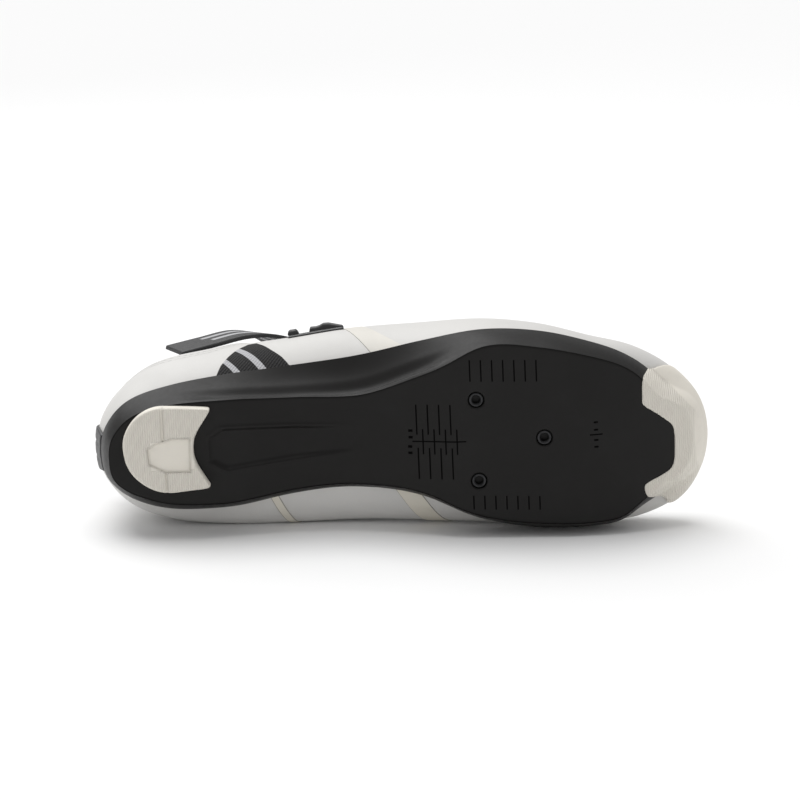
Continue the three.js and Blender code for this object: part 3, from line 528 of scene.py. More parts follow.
class Value:
    """A shader socket that can be written in sums, such as 1 - mask * 0.4."""

    def __init__(self, finish, socket):
        self.finish, self.socket = finish, socket

    def _with(self, operation, *others):
        return self.finish.node("ShaderNodeMath", {"operation": operation}, [self, *others])

    def __add__(self, other):
        return self._with("ADD", other)

    def __sub__(self, other):
        return self._with("SUBTRACT", other)

    def __rsub__(self, other):
        return self.finish.node("ShaderNodeMath", {"operation": "SUBTRACT"}, [other, self])

    def __mul__(self, other):
        return self._with("MULTIPLY", other)

    def __mod__(self, other):
        return self._with("FLOORED_MODULO", other)

    def __abs__(self):
        return self._with("ABSOLUTE")

    __radd__, __rmul__ = __add__, __mul__

    def sin(self):
        """Its sine."""
        return self._with("SINE")

    def most(self, other):
        """The greater of both."""
        return self._with("MAXIMUM", other)

    def ramp(self, low, high):
        """0 below low, 1 above high, smooth between them."""
        return self.finish.node(
            "ShaderNodeMapRange", {"interpolation_type": "SMOOTHSTEP"},
            {"Value": self, "From Min": low, "From Max": high})

    def between(self, low, high, soft):
        """1 between low and high, falling to 0 within soft outside them."""
        return self.ramp(low - soft, low) * (1 - self.ramp(high, high + soft))

    def near(self, middle, full, none):
        """1 where it differs from the middle by less than full, 0 from none on."""
        return 1 - abs(self - middle).ramp(full, none)


# Sockets of the Mix node when it mixes colours.
MIX_FACTOR, MIX_UNDER, MIX_OVER, MIX_RESULT = 0, 6, 7, 2


class Finish:
    """A material under construction: colour, roughness, relief and painted shade of grooves, linked
    by done().
    """

    def __init__(self, name, colour, roughness, **fixed):
        self.material = bpy.data.materials.new(name)
        self.material.use_nodes = True
        self.tree = self.material.node_tree
        self.shader = self.tree.nodes["Principled BSDF"]
        self.colour, self.rough = (*colour, 1), roughness
        self.height = self.grooves = None
        for name, value in fixed.items():
            socket = name.replace("_", " ").title().replace("Ior", "IOR")
            self.shader.inputs[socket].default_value = value

    def feed(self, socket, value):
        """Links a value to a socket, or sets the number or colour there."""
        if isinstance(value, Value):
            self.tree.links.new(value.socket, socket)
        else:
            socket.default_value = value

    def node(self, kind, settings=None, inputs=(), output=0):
        """Adds a node: its settings first, then the values or links of its sockets."""
        node = self.tree.nodes.new(kind)
        for name, value in (settings or {}).items():
            setattr(node, name, value)
        pairs = inputs.items() if isinstance(inputs, dict) else enumerate(inputs)
        for name, value in pairs:
            self.feed(node.inputs[name], value)
        return Value(self, node.outputs[output])

    def mark(self, name):
        """A number that the mesh carries at each point."""
        return self.node("ShaderNodeAttribute", {"attribute_name": name}, output="Fac")

    def place(self):
        """Each point's place in the standing shoe, in millimetres."""
        return self.node("ShaderNodeAttribute", {"attribute_name": "shoe_place"}, output="Vector")

    def split(self, vector):
        """Its three parts."""
        node = self.node("ShaderNodeSeparateXYZ", {}, [vector]).socket.node
        return [Value(self, node.outputs[n]) for n in range(3)]

    def noise(self, scale, detail=3, stretch=(1, 1, 1)):
        """Soft clouds over the shoe's own millimetres."""
        vector = self.node("ShaderNodeMapping", {}, {"Vector": self.place(), "Scale": stretch})
        return self.node(
            "ShaderNodeTexNoise", {}, {"Vector": vector, "Scale": scale, "Detail": detail})

    def cells(self, scale):
        """Distance to the nearest of scattered points, as in a fine grain."""
        return self.node(
            "ShaderNodeTexVoronoi", {}, {"Vector": self.place(), "Scale": scale}, "Distance")

    def tint(self, colour, mask):
        """Lays a colour over what is there so far, by a mask."""
        self.colour = self.node(
            "ShaderNodeMix", {"data_type": "RGBA"},
            {MIX_FACTOR: mask, MIX_UNDER: self.colour, MIX_OVER: (*colour, 1)}, MIX_RESULT)
        return self

    def roughen(self, amount):
        """Adds an amount that changes over the surface to the roughness."""
        self.rough = amount + self.rough
        return self

    def raise_by(self, height):
        """Adds a height in millimetres to the relief."""
        self.height = height if self.height is None else self.height + height
        return self

    def paint_groove_shade(self, mask):
        """Paints shade: turns dull black where the mask is 1, as the shade in a deep narrow groove
        would.
        """
        self.grooves = mask
        return self

    def done(self):
        """The finished material."""
        self.feed(self.shader.inputs["Base Color"], self.colour)
        self.feed(self.shader.inputs["Roughness"], self.rough)
        if self.height is not None:
            relief = {"Strength": 1.0, "Distance": MILLIMETRE, "Height": self.height}
            self.feed(self.shader.inputs["Normal"], self.node("ShaderNodeBump", {}, relief))
        # Painted shade: where the grooves mask is 1, a dull black shader is mixed in over the lit
        # one.
        if self.grooves is not None:
            black = self.node("ShaderNodeBsdfPrincipled", {}, {
                "Base Color": (0, 0, 0, 1), "Roughness": 1.0, "Specular IOR Level": 0.0})
            lit = Value(self, self.shader.outputs["BSDF"])
            both = self.node("ShaderNodeMixShader", {}, [self.grooves, lit, black])
            self.feed(self.tree.nodes["Material Output"].inputs["Surface"], both)
        return self.material


def upper_synthetic():
    """Upper material: grain, two rows of stitches below the rim, a back seam above the tab, a
    stitched toe cap and small vents over the toes."""
    f = Finish("upper synthetic", colours().upper, 0.48, coat_weight=0.05, coat_roughness=0.35)
    x, y, z = f.split(f.place())
    shade = darker(colours().upper, 0.5)
    grain = f.cells(1.9)
    f.raise_by(grain * 0.04).raise_by(f.noise(0.35, 4) * 0.06)
    f.tint(darker(colours().upper, 0.92), f.noise(0.06).ramp(0.45, 0.75) * 0.5)
    rim = f.mark("rim_line")
    pitch = 2 * math.pi / size_of("stitch_pitch")
    dash = ((x + y) * pitch).sin().ramp(-0.3, 0.1)
    thread = rim.near(8.5, 0.22, 0.5).most(rim.near(11.2, 0.22, 0.5))
    f.raise_by(thread * dash * 0.22).tint(shade, thread * (1 - dash) * 0.6)
    back = y.near(2.2, 0.25, 0.6) * (1 - x.ramp(20, 24)) * z.ramp(52, 54)
    bow = x + (y - 5) * (y - 5) * 0.011
    cap = bow.near(228, 0.2, 0.55) * z.ramp(35, 50)
    f.raise_by((back + cap) * -0.3).tint(shade, (back + cap) * 0.75)
    cap_thread = bow.near(225.6, 0.2, 0.45) * z.ramp(35, 45)
    side_dash = (y * pitch).sin().ramp(-0.3, 0.1)
    f.raise_by(cap_thread * side_dash * 0.2).tint(shade, cap_thread * (1 - side_dash) * 0.5)
    along = (x + (y * 0.5)) % 5.2 - 2.6
    over = (y % 4.5) - 2.25
    hole = 1 - (along * along + over * over).ramp(0.25, 0.55)
    field = bow.between(186, 220, 0.2) * (y - 5).between(-24, 24, 0.2) * z.ramp(40, 41)
    f.raise_by(hole * field * -0.5).tint((0.03, 0.03, 0.03), hole * field * 0.92)
    f.roughen(f.noise(0.2, 4) * 0.12)
    return f.done()


def band_synthetic(name, colour, edge, depth):
    """Smooth coated band: fine grain, soft cloudiness, and dark cut edges that take `edge` of
    its width on each side, `depth` of full strength."""
    f = Finish(name, colour, 0.46, coat_weight=0.06, coat_roughness=0.35)
    grain = f.cells(1.9)
    f.raise_by(grain * 0.035).raise_by(f.noise(0.35, 4) * 0.05)
    f.tint(darker(colour, 0.93), f.noise(0.06).ramp(0.45, 0.75) * 0.5)
    f.tint(darker(colour, 0.86), grain.ramp(0.25, 0.0) * 0.15)
    f.roughen(f.noise(0.2, 4) * 0.12)
    border = 1 - f.mark("v").between(edge, 1 - edge, 0.4 * edge)
    f.tint(darker(colour, 0.3), border * depth)
    return f.done()


def lining_fabric():
    """Dark knitted lining: small loops in rows."""
    f = Finish("lining knit", (0.035, 0.035, 0.038), 0.85, sheen_weight=0.3)
    x, y, z = f.split(f.place())
    loops = (x * 4.2).sin() * ((y + z) * 4.2).sin()
    f.raise_by(loops * 0.12).tint((0.012, 0.012, 0.013), loops.ramp(0.2, -0.6) * 0.8)
    f.tint((0.06, 0.06, 0.065), f.noise(0.3).ramp(0.5, 0.8) * 0.4)
    return f.done()


def binding_tape():
    """Black tape of the collar's binding, a little worn."""
    f = Finish("binding", (0.016, 0.016, 0.017), 0.6, sheen_weight=0.1)
    f.raise_by(f.noise(2.0) * 0.08)
    f.tint((0.03, 0.03, 0.032), f.noise(0.8).ramp(0.5, 0.7) * 0.5)
    return f.done()


def tongue_synthetic():
    """Soft synthetic of the tongue: the upper's colour with fine grain and faint clouds."""
    f = Finish("tongue synthetic", colours().upper, 0.55)
    f.raise_by(f.cells(1.7) * 0.05)
    f.tint(darker(colours().upper, 0.9), f.noise(0.08).ramp(0.4, 0.8) * 0.5)
    return f.done()


def ticks(axis, cross, start, pitch, count, low, high, width=0.22):
    """A row of engraved lines: at start, start + pitch and so on along axis, from low to high
    across it."""
    offset = axis - start + pitch / 2
    line = abs(offset % pitch - pitch / 2)
    inside = axis.between(start - pitch / 2, start + (count - 0.5) * pitch, 0.01)
    return (1 - line.ramp(width, width + 0.14)) * inside * cross.between(low, high, 0.12)


def sole_moulding():
    """Black moulded sole: fine grain, satin, engraved setting lines round the bolts with painted
    shade in them.
    """
    f = Finish("sole moulding", colours().sole, 0.34, specular_ior_level=0.2)
    x, y, z = f.split(f.place())
    below = 1 - z.ramp(13.5, 14.5)
    lines = [
        ticks(x, y + (x * -0.04), 171.1, 4.92, 7, -43.5, -33.9),
        ticks(x, y + (x * -0.05), 170.8, 4.92, 7, 16.6, 22.8),
        ticks(x, y, 146.6, 5.05, 4, -16.6, -3.0),
        ticks(x, y, 149.2, 5.05, 4, -5.4, 6.0),
        ticks(x, y, 146.9, 5.05, 4, 3.2, 17.4),
        y.near(0.2, 0.2, 0.34) * x.between(144.5, 168.3, 0.1),
        y.near(0.0, 0.2, 0.34) * x.between(223.7, 229.4, 0.1),
        ticks(y, x, -5.6, 3.4, 2, 225.6, 227.4, 0.35),
        ticks(y, x, 2.5, 3.1, 2, 225.6, 227.4, 0.35),
        ticks(y, x, -4.7, 3.0, 2, 142.9, 144.6, 0.5),
        ticks(y, x, 2.6, 2.9, 2, 142.5, 144.2, 0.5)]
    marks = lines[0]
    for line in lines[1:]:
        marks = marks.most(line)
    marks = marks * below
    f.raise_by(f.noise(2.2, 5) * 0.03).raise_by(marks * -0.5)
    # Painted shade: the engraved lines turn dull black.
    f.paint_groove_shade(marks * 0.85)
    f.tint((0.012, 0.0115, 0.0115), f.noise(0.05).ramp(0.4, 0.8) * 0.35)
    f.roughen(f.noise(0.5, 4) * 0.16)
    return f.done()


def pad_rubber(name, ribs, creases=False):
    """Pale rubber: a wave along the shoe where ribs(x, y, z) is 1, with painted shade in the valleys
    of the ribs and, if asked, in the folds that the mesh marks."""
    f = Finish(name, colours().pad, 0.52)
    x, y, z = f.split(f.place())
    pitch = size_of("rib_pitch")
    wave = (x * (2 * math.pi / pitch)).sin() * 0.5 + 0.5
    mask = ribs(x, y, z)
    f.raise_by(wave * mask * 0.30).raise_by(f.noise(1.5, 4) * 0.05)
    # Painted shade in the valleys between the ribs.
    f.tint(darker(colours().pad, 0.80), (1 - wave) * mask * 0.38)
    f.tint(darker(colours().pad, 0.88), f.noise(0.12, 4).ramp(0.45, 0.75) * 0.5)
    if creases:
        # Painted shade along the recess edges and the step, where the mesh carries the mark.
        f.tint(darker(colours().pad, 0.5), f.mark("crease") * 0.45)
    f.roughen(f.noise(0.6) * 0.12)
    return f.done()


def strap_webbing():
    """Black coated strap: fine diagonal grain, two pale stripes and a line of stitches."""
    f = Finish("strap webbing", colours().dark, 0.5)
    x, _, z = f.split(f.place())
    u, v = f.mark("u"), f.mark("v")
    weave = ((x + z) * 5.5).sin() * ((x - z) * 5.5).sin()
    f.raise_by(weave * 0.06)
    f.tint((0.03, 0.03, 0.032), weave.ramp(0.0, 0.9) * 0.5)
    upper_line = v.between(0.22, 0.33, 0.02) * u.between(0.50, 0.90, 0.01)
    lower_line = v.between(0.52, 0.64, 0.02) * u.between(0.52, 0.885, 0.01)
    stripes = upper_line.most(lower_line)
    f.tint(colours().stripe, stripes * 0.92).raise_by(stripes * 0.12)
    stitch = v.near(0.07, 0.010, 0.02).most(v.near(0.93, 0.010, 0.02))
    dash = (u * 420).sin().ramp(-0.2, 0.2)
    f.tint((0.05, 0.05, 0.052), stitch * dash).raise_by(stitch * dash * 0.15)
    return f.done()


def open_mesh():
    """Black mesh of diagonal cords over a dark ground, with two pale stripes across it."""
    f = Finish("side mesh", colours().dark, 0.7, specular_ior_level=0.25)
    x, _, z = f.split(f.place())
    slant = (x * 0.82 - z * 0.57) * (2 * math.pi / 1.25)
    cross = (x * 0.57 + z * 0.82) * (2 * math.pi / 1.6)
    cord = slant.sin() * 0.5 + 0.5
    bead = cord * (cross.sin() * 0.25 + 0.75)
    f.raise_by(bead * 0.3)
    f.tint((0.024, 0.022, 0.018), bead.ramp(0.5, 0.95) * 0.8)
    run = x * 0.79 + z * 0.61
    first = (run - 69.8).between(-1.3, 1.3, 0.15)
    second = (run - 80.2).between(-1.5, 1.5, 0.15)
    stripes = first.most(second)
    f.tint(colours().stripe, stripes).raise_by(stripes * 0.2)
    return f.done()


def footbed_cloth():
    """Dark cloth of the footbed: plain weave over a soft ground."""
    f = Finish("footbed cloth", (0.045, 0.046, 0.052), 0.8, sheen_weight=0.3)
    x, y, _ = f.split(f.place())
    weave = (x * 5.2).sin() * (y * 5.2).sin()
    f.raise_by(weave * 0.10).tint((0.02, 0.02, 0.024), weave.ramp(0.1, -0.8) * 0.7)
    f.tint((0.09, 0.092, 0.10), f.noise(0.2, 4).ramp(0.5, 0.8) * 0.4)
    return f.done()


def moulded_black(name, roughness):
    """Black hard moulding with fine flow marks and worn high spots."""
    f = Finish(name, colours().dark, roughness, coat_weight=0.1, coat_roughness=0.2)
    f.raise_by(f.noise(2.5) * 0.02)
    f.tint((0.03, 0.03, 0.031), f.noise(0.4, 4).ramp(0.5, 0.75) * 0.5)
    f.roughen(f.noise(0.8) * 0.14)
    return f.done()


def brushed_steel():
    """Steel of the threaded inserts: turned rings and dark grease in the thread."""
    f = Finish("insert steel", (0.045, 0.045, 0.047), 0.3, metallic=1.0)
    f.raise_by(f.noise(3.0, 2, (1, 1, 6)) * 0.03)
    f.tint((0.012, 0.012, 0.012), f.noise(0.9, 4).ramp(0.5, 0.7) * 0.6)
    f.roughen(f.noise(1.2) * 0.2)
    return f.done()


# Patches on the upper: side, heights on the sections, and the sections of the rear and the front
# edge at those heights.
PATCHES = {
    "side_mesh_panel": dict(side=OUTER, v=[.40, .6, .75, .9, 1.04],
                            rear=[3.84, 3.94, 4.06, 4.2, 4.38],
                            front=[5.02, 4.88, 4.74, 4.62, 4.50]),
    "outer_band": dict(side=OUTER, v=[.38, .52, .75, 1, 1.2, 1.45],
                       rear=[6.24, 6.15, 6., 5.85, 5.76, 5.68],
                       front=[6.77, 6.62, 6.38, 6.15, 6.02, 5.92]),
    "inner_rear_band": dict(side=INNER, v=[.22, .36, .65, 1, 1.08],
                            rear=[4.59, 4.66, 4.8, 4.95, 4.98],
                            front=[4.73, 4.8, 4.94, 5.08, 5.11]),
    "inner_front_band": dict(side=INNER, v=[.26, .42, .7, 1, 1.3],
                             rear=[6.5, 6.62, 6.82, 7.02, 7.15],
                             front=[6.84, 6.98, 7.2, 7.42, 7.52]),
}


def seam_distance(j, v):
    """Distance in millimetres from each point to the nearest seam: how many sections away the
    seam is at that height, times the length of a section there."""
    j = np.mod(j, ROWS)
    side = np.where(j <= HALF, OUTER, INNER)
    k = np.where(j <= HALF, j, ROWS - j)
    step = 0.05
    span = np.linalg.norm(last_point(j + step, v) - last_point(j - step, v), axis=-1) / (2 * step)
    nearest = np.full(j.shape, 9.0)
    for patch in PATCHES.values():
        heights = np.array(patch["v"])
        within = (side == patch["side"]) & (v > heights[0] - 0.03) & (v < heights[-1] + 0.03)
        for edge in ("rear", "front"):
            line = np.interp(v, heights, patch[edge])
            away = np.where(within, (k - line) * span, 9.0)
            nearest = np.where(np.abs(away) < np.abs(nearest), away, nearest)
    return nearest


def build_upper():
    """The shell of the upper: the last's surface outside, the same a wall further in inside,
    joined along the open rim and below. The rim swells to a padded roll by a bell curve of the
    distance from it, seams lie in grooves of the same form, and the toes' flex is a sine."""
    j = whole_round(231)
    rim = rim_at(j)
    open_at = rim < CLOSED
    low = np.linspace(0, 1, 34)[:, None] + 0 * j
    high = 1 + np.linspace(0, 1, 84)[1:, None] * (rim - 1)
    v = np.concatenate([low, high])
    jj = np.broadcast_to(j, v.shape)
    seam = seam_distance(jj, v)
    arc = np.linalg.norm(last_point(j, rim) - last_point(j, np.maximum(rim - 0.2, 0)), axis=-1) / 0.2
    from_rim = (rim - v) * arc
    swell = 0.9 * np.exp(-((from_rim - 6) / 4.5) ** 2)
    roll = open_at * (swell - 0.8 * glide(1 - from_rim / 2.2))
    x = last_point(jj, v)[..., 0]
    flex = 0.16 * np.sin((x + 6 * np.sin(3 * v)) * 0.42)
    flex = flex * glide((x - 165) / 18) * glide((222 - x) / 18)
    groove = -0.16 * np.exp(-(seam / 1.7) ** 2) - 1.4 * glide((lip_at(j) - v) / 0.12)
    distance = roll + groove + flex * glide((v - 1.2) / 0.3)
    shell = Shell()
    rim_line = np.where(open_at, from_rim, 60 + from_rim)
    outside = shell.grid(skin(jj, v, distance), rim_line=rim_line)
    depth = -WALL + 0.5 * glide(1 - from_rim / 2.2) * open_at
    inner_rows = np.concatenate([np.arange(0, 34, 3), np.arange(35, len(v) - 1, 3), [len(v) - 1]])
    inside = shell.grid(skin(jj[inner_rows], v[inner_rows], depth[inner_rows]))
    shell.cover(outside, wrap=True)
    shell.cover(inside[::-1], look=1, wrap=True)
    shell.cover(np.stack([inside[0], outside[0]]), look=1, wrap=True)
    joined = np.flatnonzero(open_at | np.roll(open_at, -1))
    shell.join([outside[-1], inside[-1]], joined, (joined + 1) % len(j), look=1)
    piece = shell.piece("upper_shell", [upper_synthetic(), lining_fabric()])
    return settle(piece, "upper_shell", "upper")


def build_binding():
    """Binding round the collar and throat: an oval carried along the rim, closed on itself,
    which thins towards the front of the throat."""
    j = whole_round(200, 7.98)
    rim = np.minimum(rim_at(j), 1.995)
    centre = skin(j, rim, -0.5 * WALL)
    normal = last_normal(j, rim)
    along = unit(np.roll(centre, -1, 0) - np.roll(centre, 1, 0))
    up = unit(np.cross(normal, along))
    turn = np.linspace(0, 2 * np.pi, 15)[:-1, None, None]
    thick = (0.25 + 0.75 * glide((8 - np.minimum(j, ROWS - j)) / 0.3))[:, None]
    tube = centre + thick * (1.75 * np.cos(turn) * normal + 1.15 * np.sin(turn) * up)
    shell = Shell()
    ids = shell.grid(tube)
    shell.cover(np.concatenate([ids, ids[:1]]), wrap=True)
    return settle(shell.piece("collar_binding", [binding_tape()]), "strap")


def side_of_sole(j, t, grow=0.0):
    """Side of the sole: straight from the underside's edge (t = 0) to the lip (t = 1), hollowed
    by scoop times the sine of half a turn, with a soft ridge just above the edge and a deeper
    step above the ridge where the scoop is deep."""
    lip = skin(j, lip_at(j), GAP + RAND)
    out = outward(j)
    width = size_of("ball_width")
    edge = lip - out * (width * last_column("flare", j))[..., None]
    edge = with_height(edge, underside_at(edge[..., 0]))
    scoop = width * last_column("scoop", j)
    deep = glide(scoop / 1.6)
    hollow = scoop * np.sin(np.pi * t) - 0.55 * deep * np.exp(-((t - 0.10) / 0.07) ** 2)
    hollow = hollow + 1.7 * deep * glide((0.60 - t) / 0.24) * glide((t - 0.04) / 0.2)
    return mix(edge, lip, t[..., None]) + out * (grow - hollow)[..., None]


def inside_of(x, y, corners):
    """Smallest distance inside the edges of a convex outline; below 0 outside it."""
    corners = np.asarray(corners, float)
    least = np.full(np.shape(x), 99.0)
    for a, b in zip(corners, np.roll(corners, -1, 0)):
        along = (b - a) / np.linalg.norm(b - a)
        least = np.minimum(least, (x - a[0]) * -along[1] + (y - a[1]) * along[0])
    return least


# Corners of the shank's channel in plan, in millimetres.
CHANNEL = [(53.5, -5.5), (59.5, -9.6), (118, -6.8), (118, 4.9), (61, 9.9), (53.5, 5.7)]


def relief_of_underside(x, y):
    """How far the underside is sunk: the channel of the shank, which runs out towards the ball,
    with a raised bead along it."""
    depth = inside_of(x, y, CHANNEL)
    fade = 1 - glide((x - 90) / 34)
    bead = np.exp(-((depth + 0.4) / 0.75) ** 2)
    return fade * (1.3 * glide(depth / 1.8) - 0.32 * bead)


def build_sole():
    """The sole: side, rounded lip, inside of the rand and floor as grids round the shoe, and the
    underside as lines across it between both edges."""
    count = 341
    j = whole_round(count)
    t = edged(22, 0.06)
    shell = Shell()
    side = side_of_sole(*np.broadcast_arrays(j, t[:, None]))
    lip_v = lip_at(j)
    turn = np.linspace(0, np.pi, 7)[1:-1, None]
    middle = GAP + RAND / 2
    bend = middle + RAND / 2 * np.cos(turn) + 0 * j
    rolled = skin(*np.broadcast_arrays(j, lip_v + 0 * turn), bend)
    rolled = rolled + np.stack([0 * j, 0 * j, 1 + 0 * j], -1) * (0.8 * np.sin(turn))[..., None]
    share = np.array([1, .85, .7, .5, .3, .15, 0])[:, None]
    drawn_in = 1.4 * glide((1 - share) * lip_v / 0.12)
    inner = skin(*np.broadcast_arrays(j, share * lip_v), GAP - drawn_in)
    ids = shell.grid(np.concatenate([side, rolled, inner]))
    shell.cover(ids, wrap=True)
    lines = edged(88, 0.02)[1:-1]
    a, b = across(side[0], count)
    rows = lines_between(a, b, lines)
    width = np.linalg.norm(b - a, axis=-1)[:, None]
    rim = np.clip(1 - np.minimum(lines, 1 - lines) * width / 1.3, 0, 1)
    x, y = rows[..., 0], rows[..., 1]
    lift = 0.55 * (1 - np.sqrt(np.maximum(1 - rim * rim, 0)))
    height = underside_at(x) + lift * glide(width / 12) + relief_of_underside(x, y)
    shell.fill(ids[0], with_height(rows, height))
    floor = lines_between(*across(inner[-1], count), np.linspace(0, 1, 14)[1:-1])
    shell.fill(ids[-1], floor, flip=True)
    piece = shell.piece("sole_body", [sole_moulding()])
    cut(piece, "DIFFERENCE", *(bore_cutter(f"bore_{n}", *bolt) for n, bolt in enumerate(BOLTS)))
    return settle(piece, "sole", "outsole")


def turned(shell, profile, x, y, segments=40):
    """A profile of radius and height, turned once round an upright axis at x, y."""
    profile = np.asarray(profile, float)
    turn = np.linspace(0, 2 * np.pi, segments + 1)[:-1]
    radius, height = profile[:, :1], profile[:, 1:]
    points = np.stack([x + radius * np.cos(turn), y + radius * np.sin(turn), height + 0 * turn], -1)
    shell.cover(shell.grid(points), wrap=True)


def bore_cutter(name, x, y):
    """The hole for one insert: a stepped round form that reaches below the sole."""
    shell = Shell()
    turned(shell, [(0, -2), (4.3, -2), (4.3, -0.2), (3.6, 0.45), (3.6, 4.1), (0, 4.1)], x, y)
    return shell.piece(name, [])


def build_inserts():
    """Threaded inserts: a flanged ring whose bore carries a thread, a wave of 0.7 mm pitch."""
    steel = brushed_steel()
    for (x, y), name in zip(BOLTS, ("rear_outer", "rear_inner", "front")):
        height = np.linspace(3.8, 0.75, 53)
        thread = 2.1 + 0.16 * np.sin(2 * np.pi * height / 0.7)
        profile = [(2.3, 0.6), (2.9, 0.6), (3.25, 0.8), (3.3, 1.0), (3.3, 3.8), (2.3, 3.8)]
        profile += list(zip(thread, height)) + [(2.3, 0.6)]
        shell = Shell()
        turned(shell, profile, x, y, 36)
        settle(shell.piece("insert_" + name, [steel]), "steel", "cleat_nut_" + name)


def soft_outline(corners, count):
    """Closed curve: from the middle of each edge of a polygon to the middle of the next, a
    parabola that the corner between them draws in."""
    corners = np.asarray(corners, float)
    place = np.linspace(0, len(corners), count, endpoint=False)
    n = np.floor(place).astype(int)
    t = (place - n)[:, None]
    before, corner, after = (corners[(n + step) % len(corners)] for step in (-1, 0, 1))
    start, end = (before + corner) / 2, (corner + after) / 2
    return (1 - t) ** 2 * start + 2 * t * (1 - t) * corner + t * t * end


# Corners in plan of the heel pad, which is drawn through them softly, and of its recess.
HEEL_PAD = [(14.8, -3.2), (16.2, -10.2), (21.5, -17.2), (29.0, -20.9), (36.0, -21.1), (53.0, -20.0),
            (54.8, -19.4), (54.4, -17.6), (47.8, -8.4), (46.4, -2.6), (46.8, 4.2), (52.6, 14.2),
            (53.6, 15.8), (51.8, 17.0), (44.0, 17.5), (33.4, 18.6), (24.4, 15.2), (16.8, 7.4)]
PAD_RECESS = [(26.0, -2.4), (29.6, -4.6), (37.6, -6.6), (45.2, -6.4), (44.8, 8.6), (34.0, 8.4),
              (30.2, 6.6), (26.5, 4.6)]


def build_heel_pad():
    """Heel pad: rings shrunk towards its middle, a rim rounded by a quarter circle, a sunk
    recess, and a groove and a step across it."""
    outline = soft_outline(HEEL_PAD, 360)
    centre = np.array([35.5, -1.6])
    shares = np.concatenate([[1, .992, .98, .965, .95, .93], np.linspace(.91, 0, 96)])
    plan = centre + shares[:, None, None] * (outline - centre)
    x, y = plan[..., 0], plan[..., 1]
    reach = np.linalg.norm(outline - centre, axis=-1)
    inset = (1 - shares[:, None]) * reach
    height = 1.5 * (1 - np.sqrt(np.clip(1 - np.clip(1 - inset / 1.9, 0, 1) ** 2, 0, 1)))
    inside = inside_of(x, y, PAD_RECESS)
    height = height + 1.15 * glide(inside / 0.7 + 0.5)
    step_at = np.where(y < 0, 33.2, 33.8)
    around_recess = inside < -0.3
    height = height + 0.75 * np.exp(-((x - step_at) / 0.5) ** 2) * around_recess
    height = height + 0.22 * glide((x - step_at) / 0.5) * glide((-inside - 0.3) / 0.5)
    shell = Shell()
    # Painted shade: a mark along the recess edges and just behind the step, which the rubber is
    # darkened by.
    crease = np.exp(-(inside / 0.65) ** 2)
    crease = np.maximum(crease, np.exp(-((x - step_at - 0.6) / 0.45) ** 2) * around_recess)
    below = shell.grid(with_height(plan, height), crease=crease)
    above = shell.grid(with_height(plan, 0 * x + underside_at(0.0) + 0.4))
    shell.cover(below, wrap=True)
    shell.cover(above[::-1], wrap=True)
    shell.cover(np.stack([above[0], below[0]]), wrap=True)

    def ribs(x, y, z):
        recess = y.between(-5.2, 7.2, 0.4) * x.between(27.5, 46.5, 0.4)
        rim = 1 - (z.ramp(0.55, 0.75) * (1 - recess))
        return (1 - recess) * rim

    piece = shell.piece("heel_pad_tread", [pad_rubber("heel pad rubber", ribs, creases=True)])
    return settle(piece, "pad", "heel_pad")


# Corners in plan round the toe bumper. Where it wraps the toe they lie well outside the shoe.
BUMPER = [(310, -90), (261.0, -90), (260.5, -29.0), (256.5, -27.0), (249.6, -24.8),
          (248.1, -22.8), (247.6, -13.0), (248.2, -10.8), (253.5, -7.2), (260.2, -1.8),
          (262.0, 0.2), (262.6, 4.0), (262.4, 14.5), (261.5, 18.6), (259.0, 20.9), (250.2, 24.3),
          (248.2, 25.4), (247.7, 27.4), (248.9, 31.0), (251.0, 32.6), (257.5, 34.2),
          (260.0, 38.0), (260.5, 90), (310, 90)]


def sole_form(name, grow):
    """The toe end of the sole as a closed form, grown all round: its side, its underside and a
    flat top above it."""
    half = np.linspace(9.5, HALF, 150)
    j = np.concatenate([half, ROWS - half[-2::-1]])
    t = np.linspace(0, 1, 26)[:, None]
    side = side_of_sole(*np.broadcast_arrays(j, t), grow)
    floor = underside_at(side[..., 0]) - grow
    side = with_height(side, np.maximum(side[..., 2], floor))
    side[0] = with_height(side[0], floor[0])
    count = len(half)
    shell = Shell()
    share = np.linspace(0, 1, 9)[1:, None]
    reach = share * 0.92 * glide((side[-1, :, 0] - 251) / 10)
    raised_v = mix(lip_at(j), 1.0, reach)
    front = skin(*np.broadcast_arrays(j, raised_v), mix(GAP + RAND + grow, 0.35 + grow, reach))
    rolled = front[-1:] + np.array([0, 0, 1.0]) * 0.5 - (outward(j) * 0.7)[None]
    walls = np.concatenate([side, front, rolled])
    shell.cover(shell.grid(walls))
    a, b = side[0][:count], side[0][::-1][:count]
    share = np.linspace(0, 1, 62)
    under = lines_between(a, b, share)
    under = with_height(under, underside_at(under[..., 0]) - grow)
    under[:, 0], under[:, -1] = a, b
    shell.cover(shell.grid(under)[:, ::-1])
    a, b = rolled[0][:count], rolled[0][::-1][:count]
    shell.cover(shell.grid(lines_between(a, b, share)))
    end = walls[:, [0, -1]]
    rear = mix(end[:, :1], end[:, 1:], share[:, None])
    rear[0] = under[0]
    shell.cover(shell.grid(rear)[::-1])
    piece = shell.piece(name, [])
    fine_remesh(piece, 0.5)
    return piece


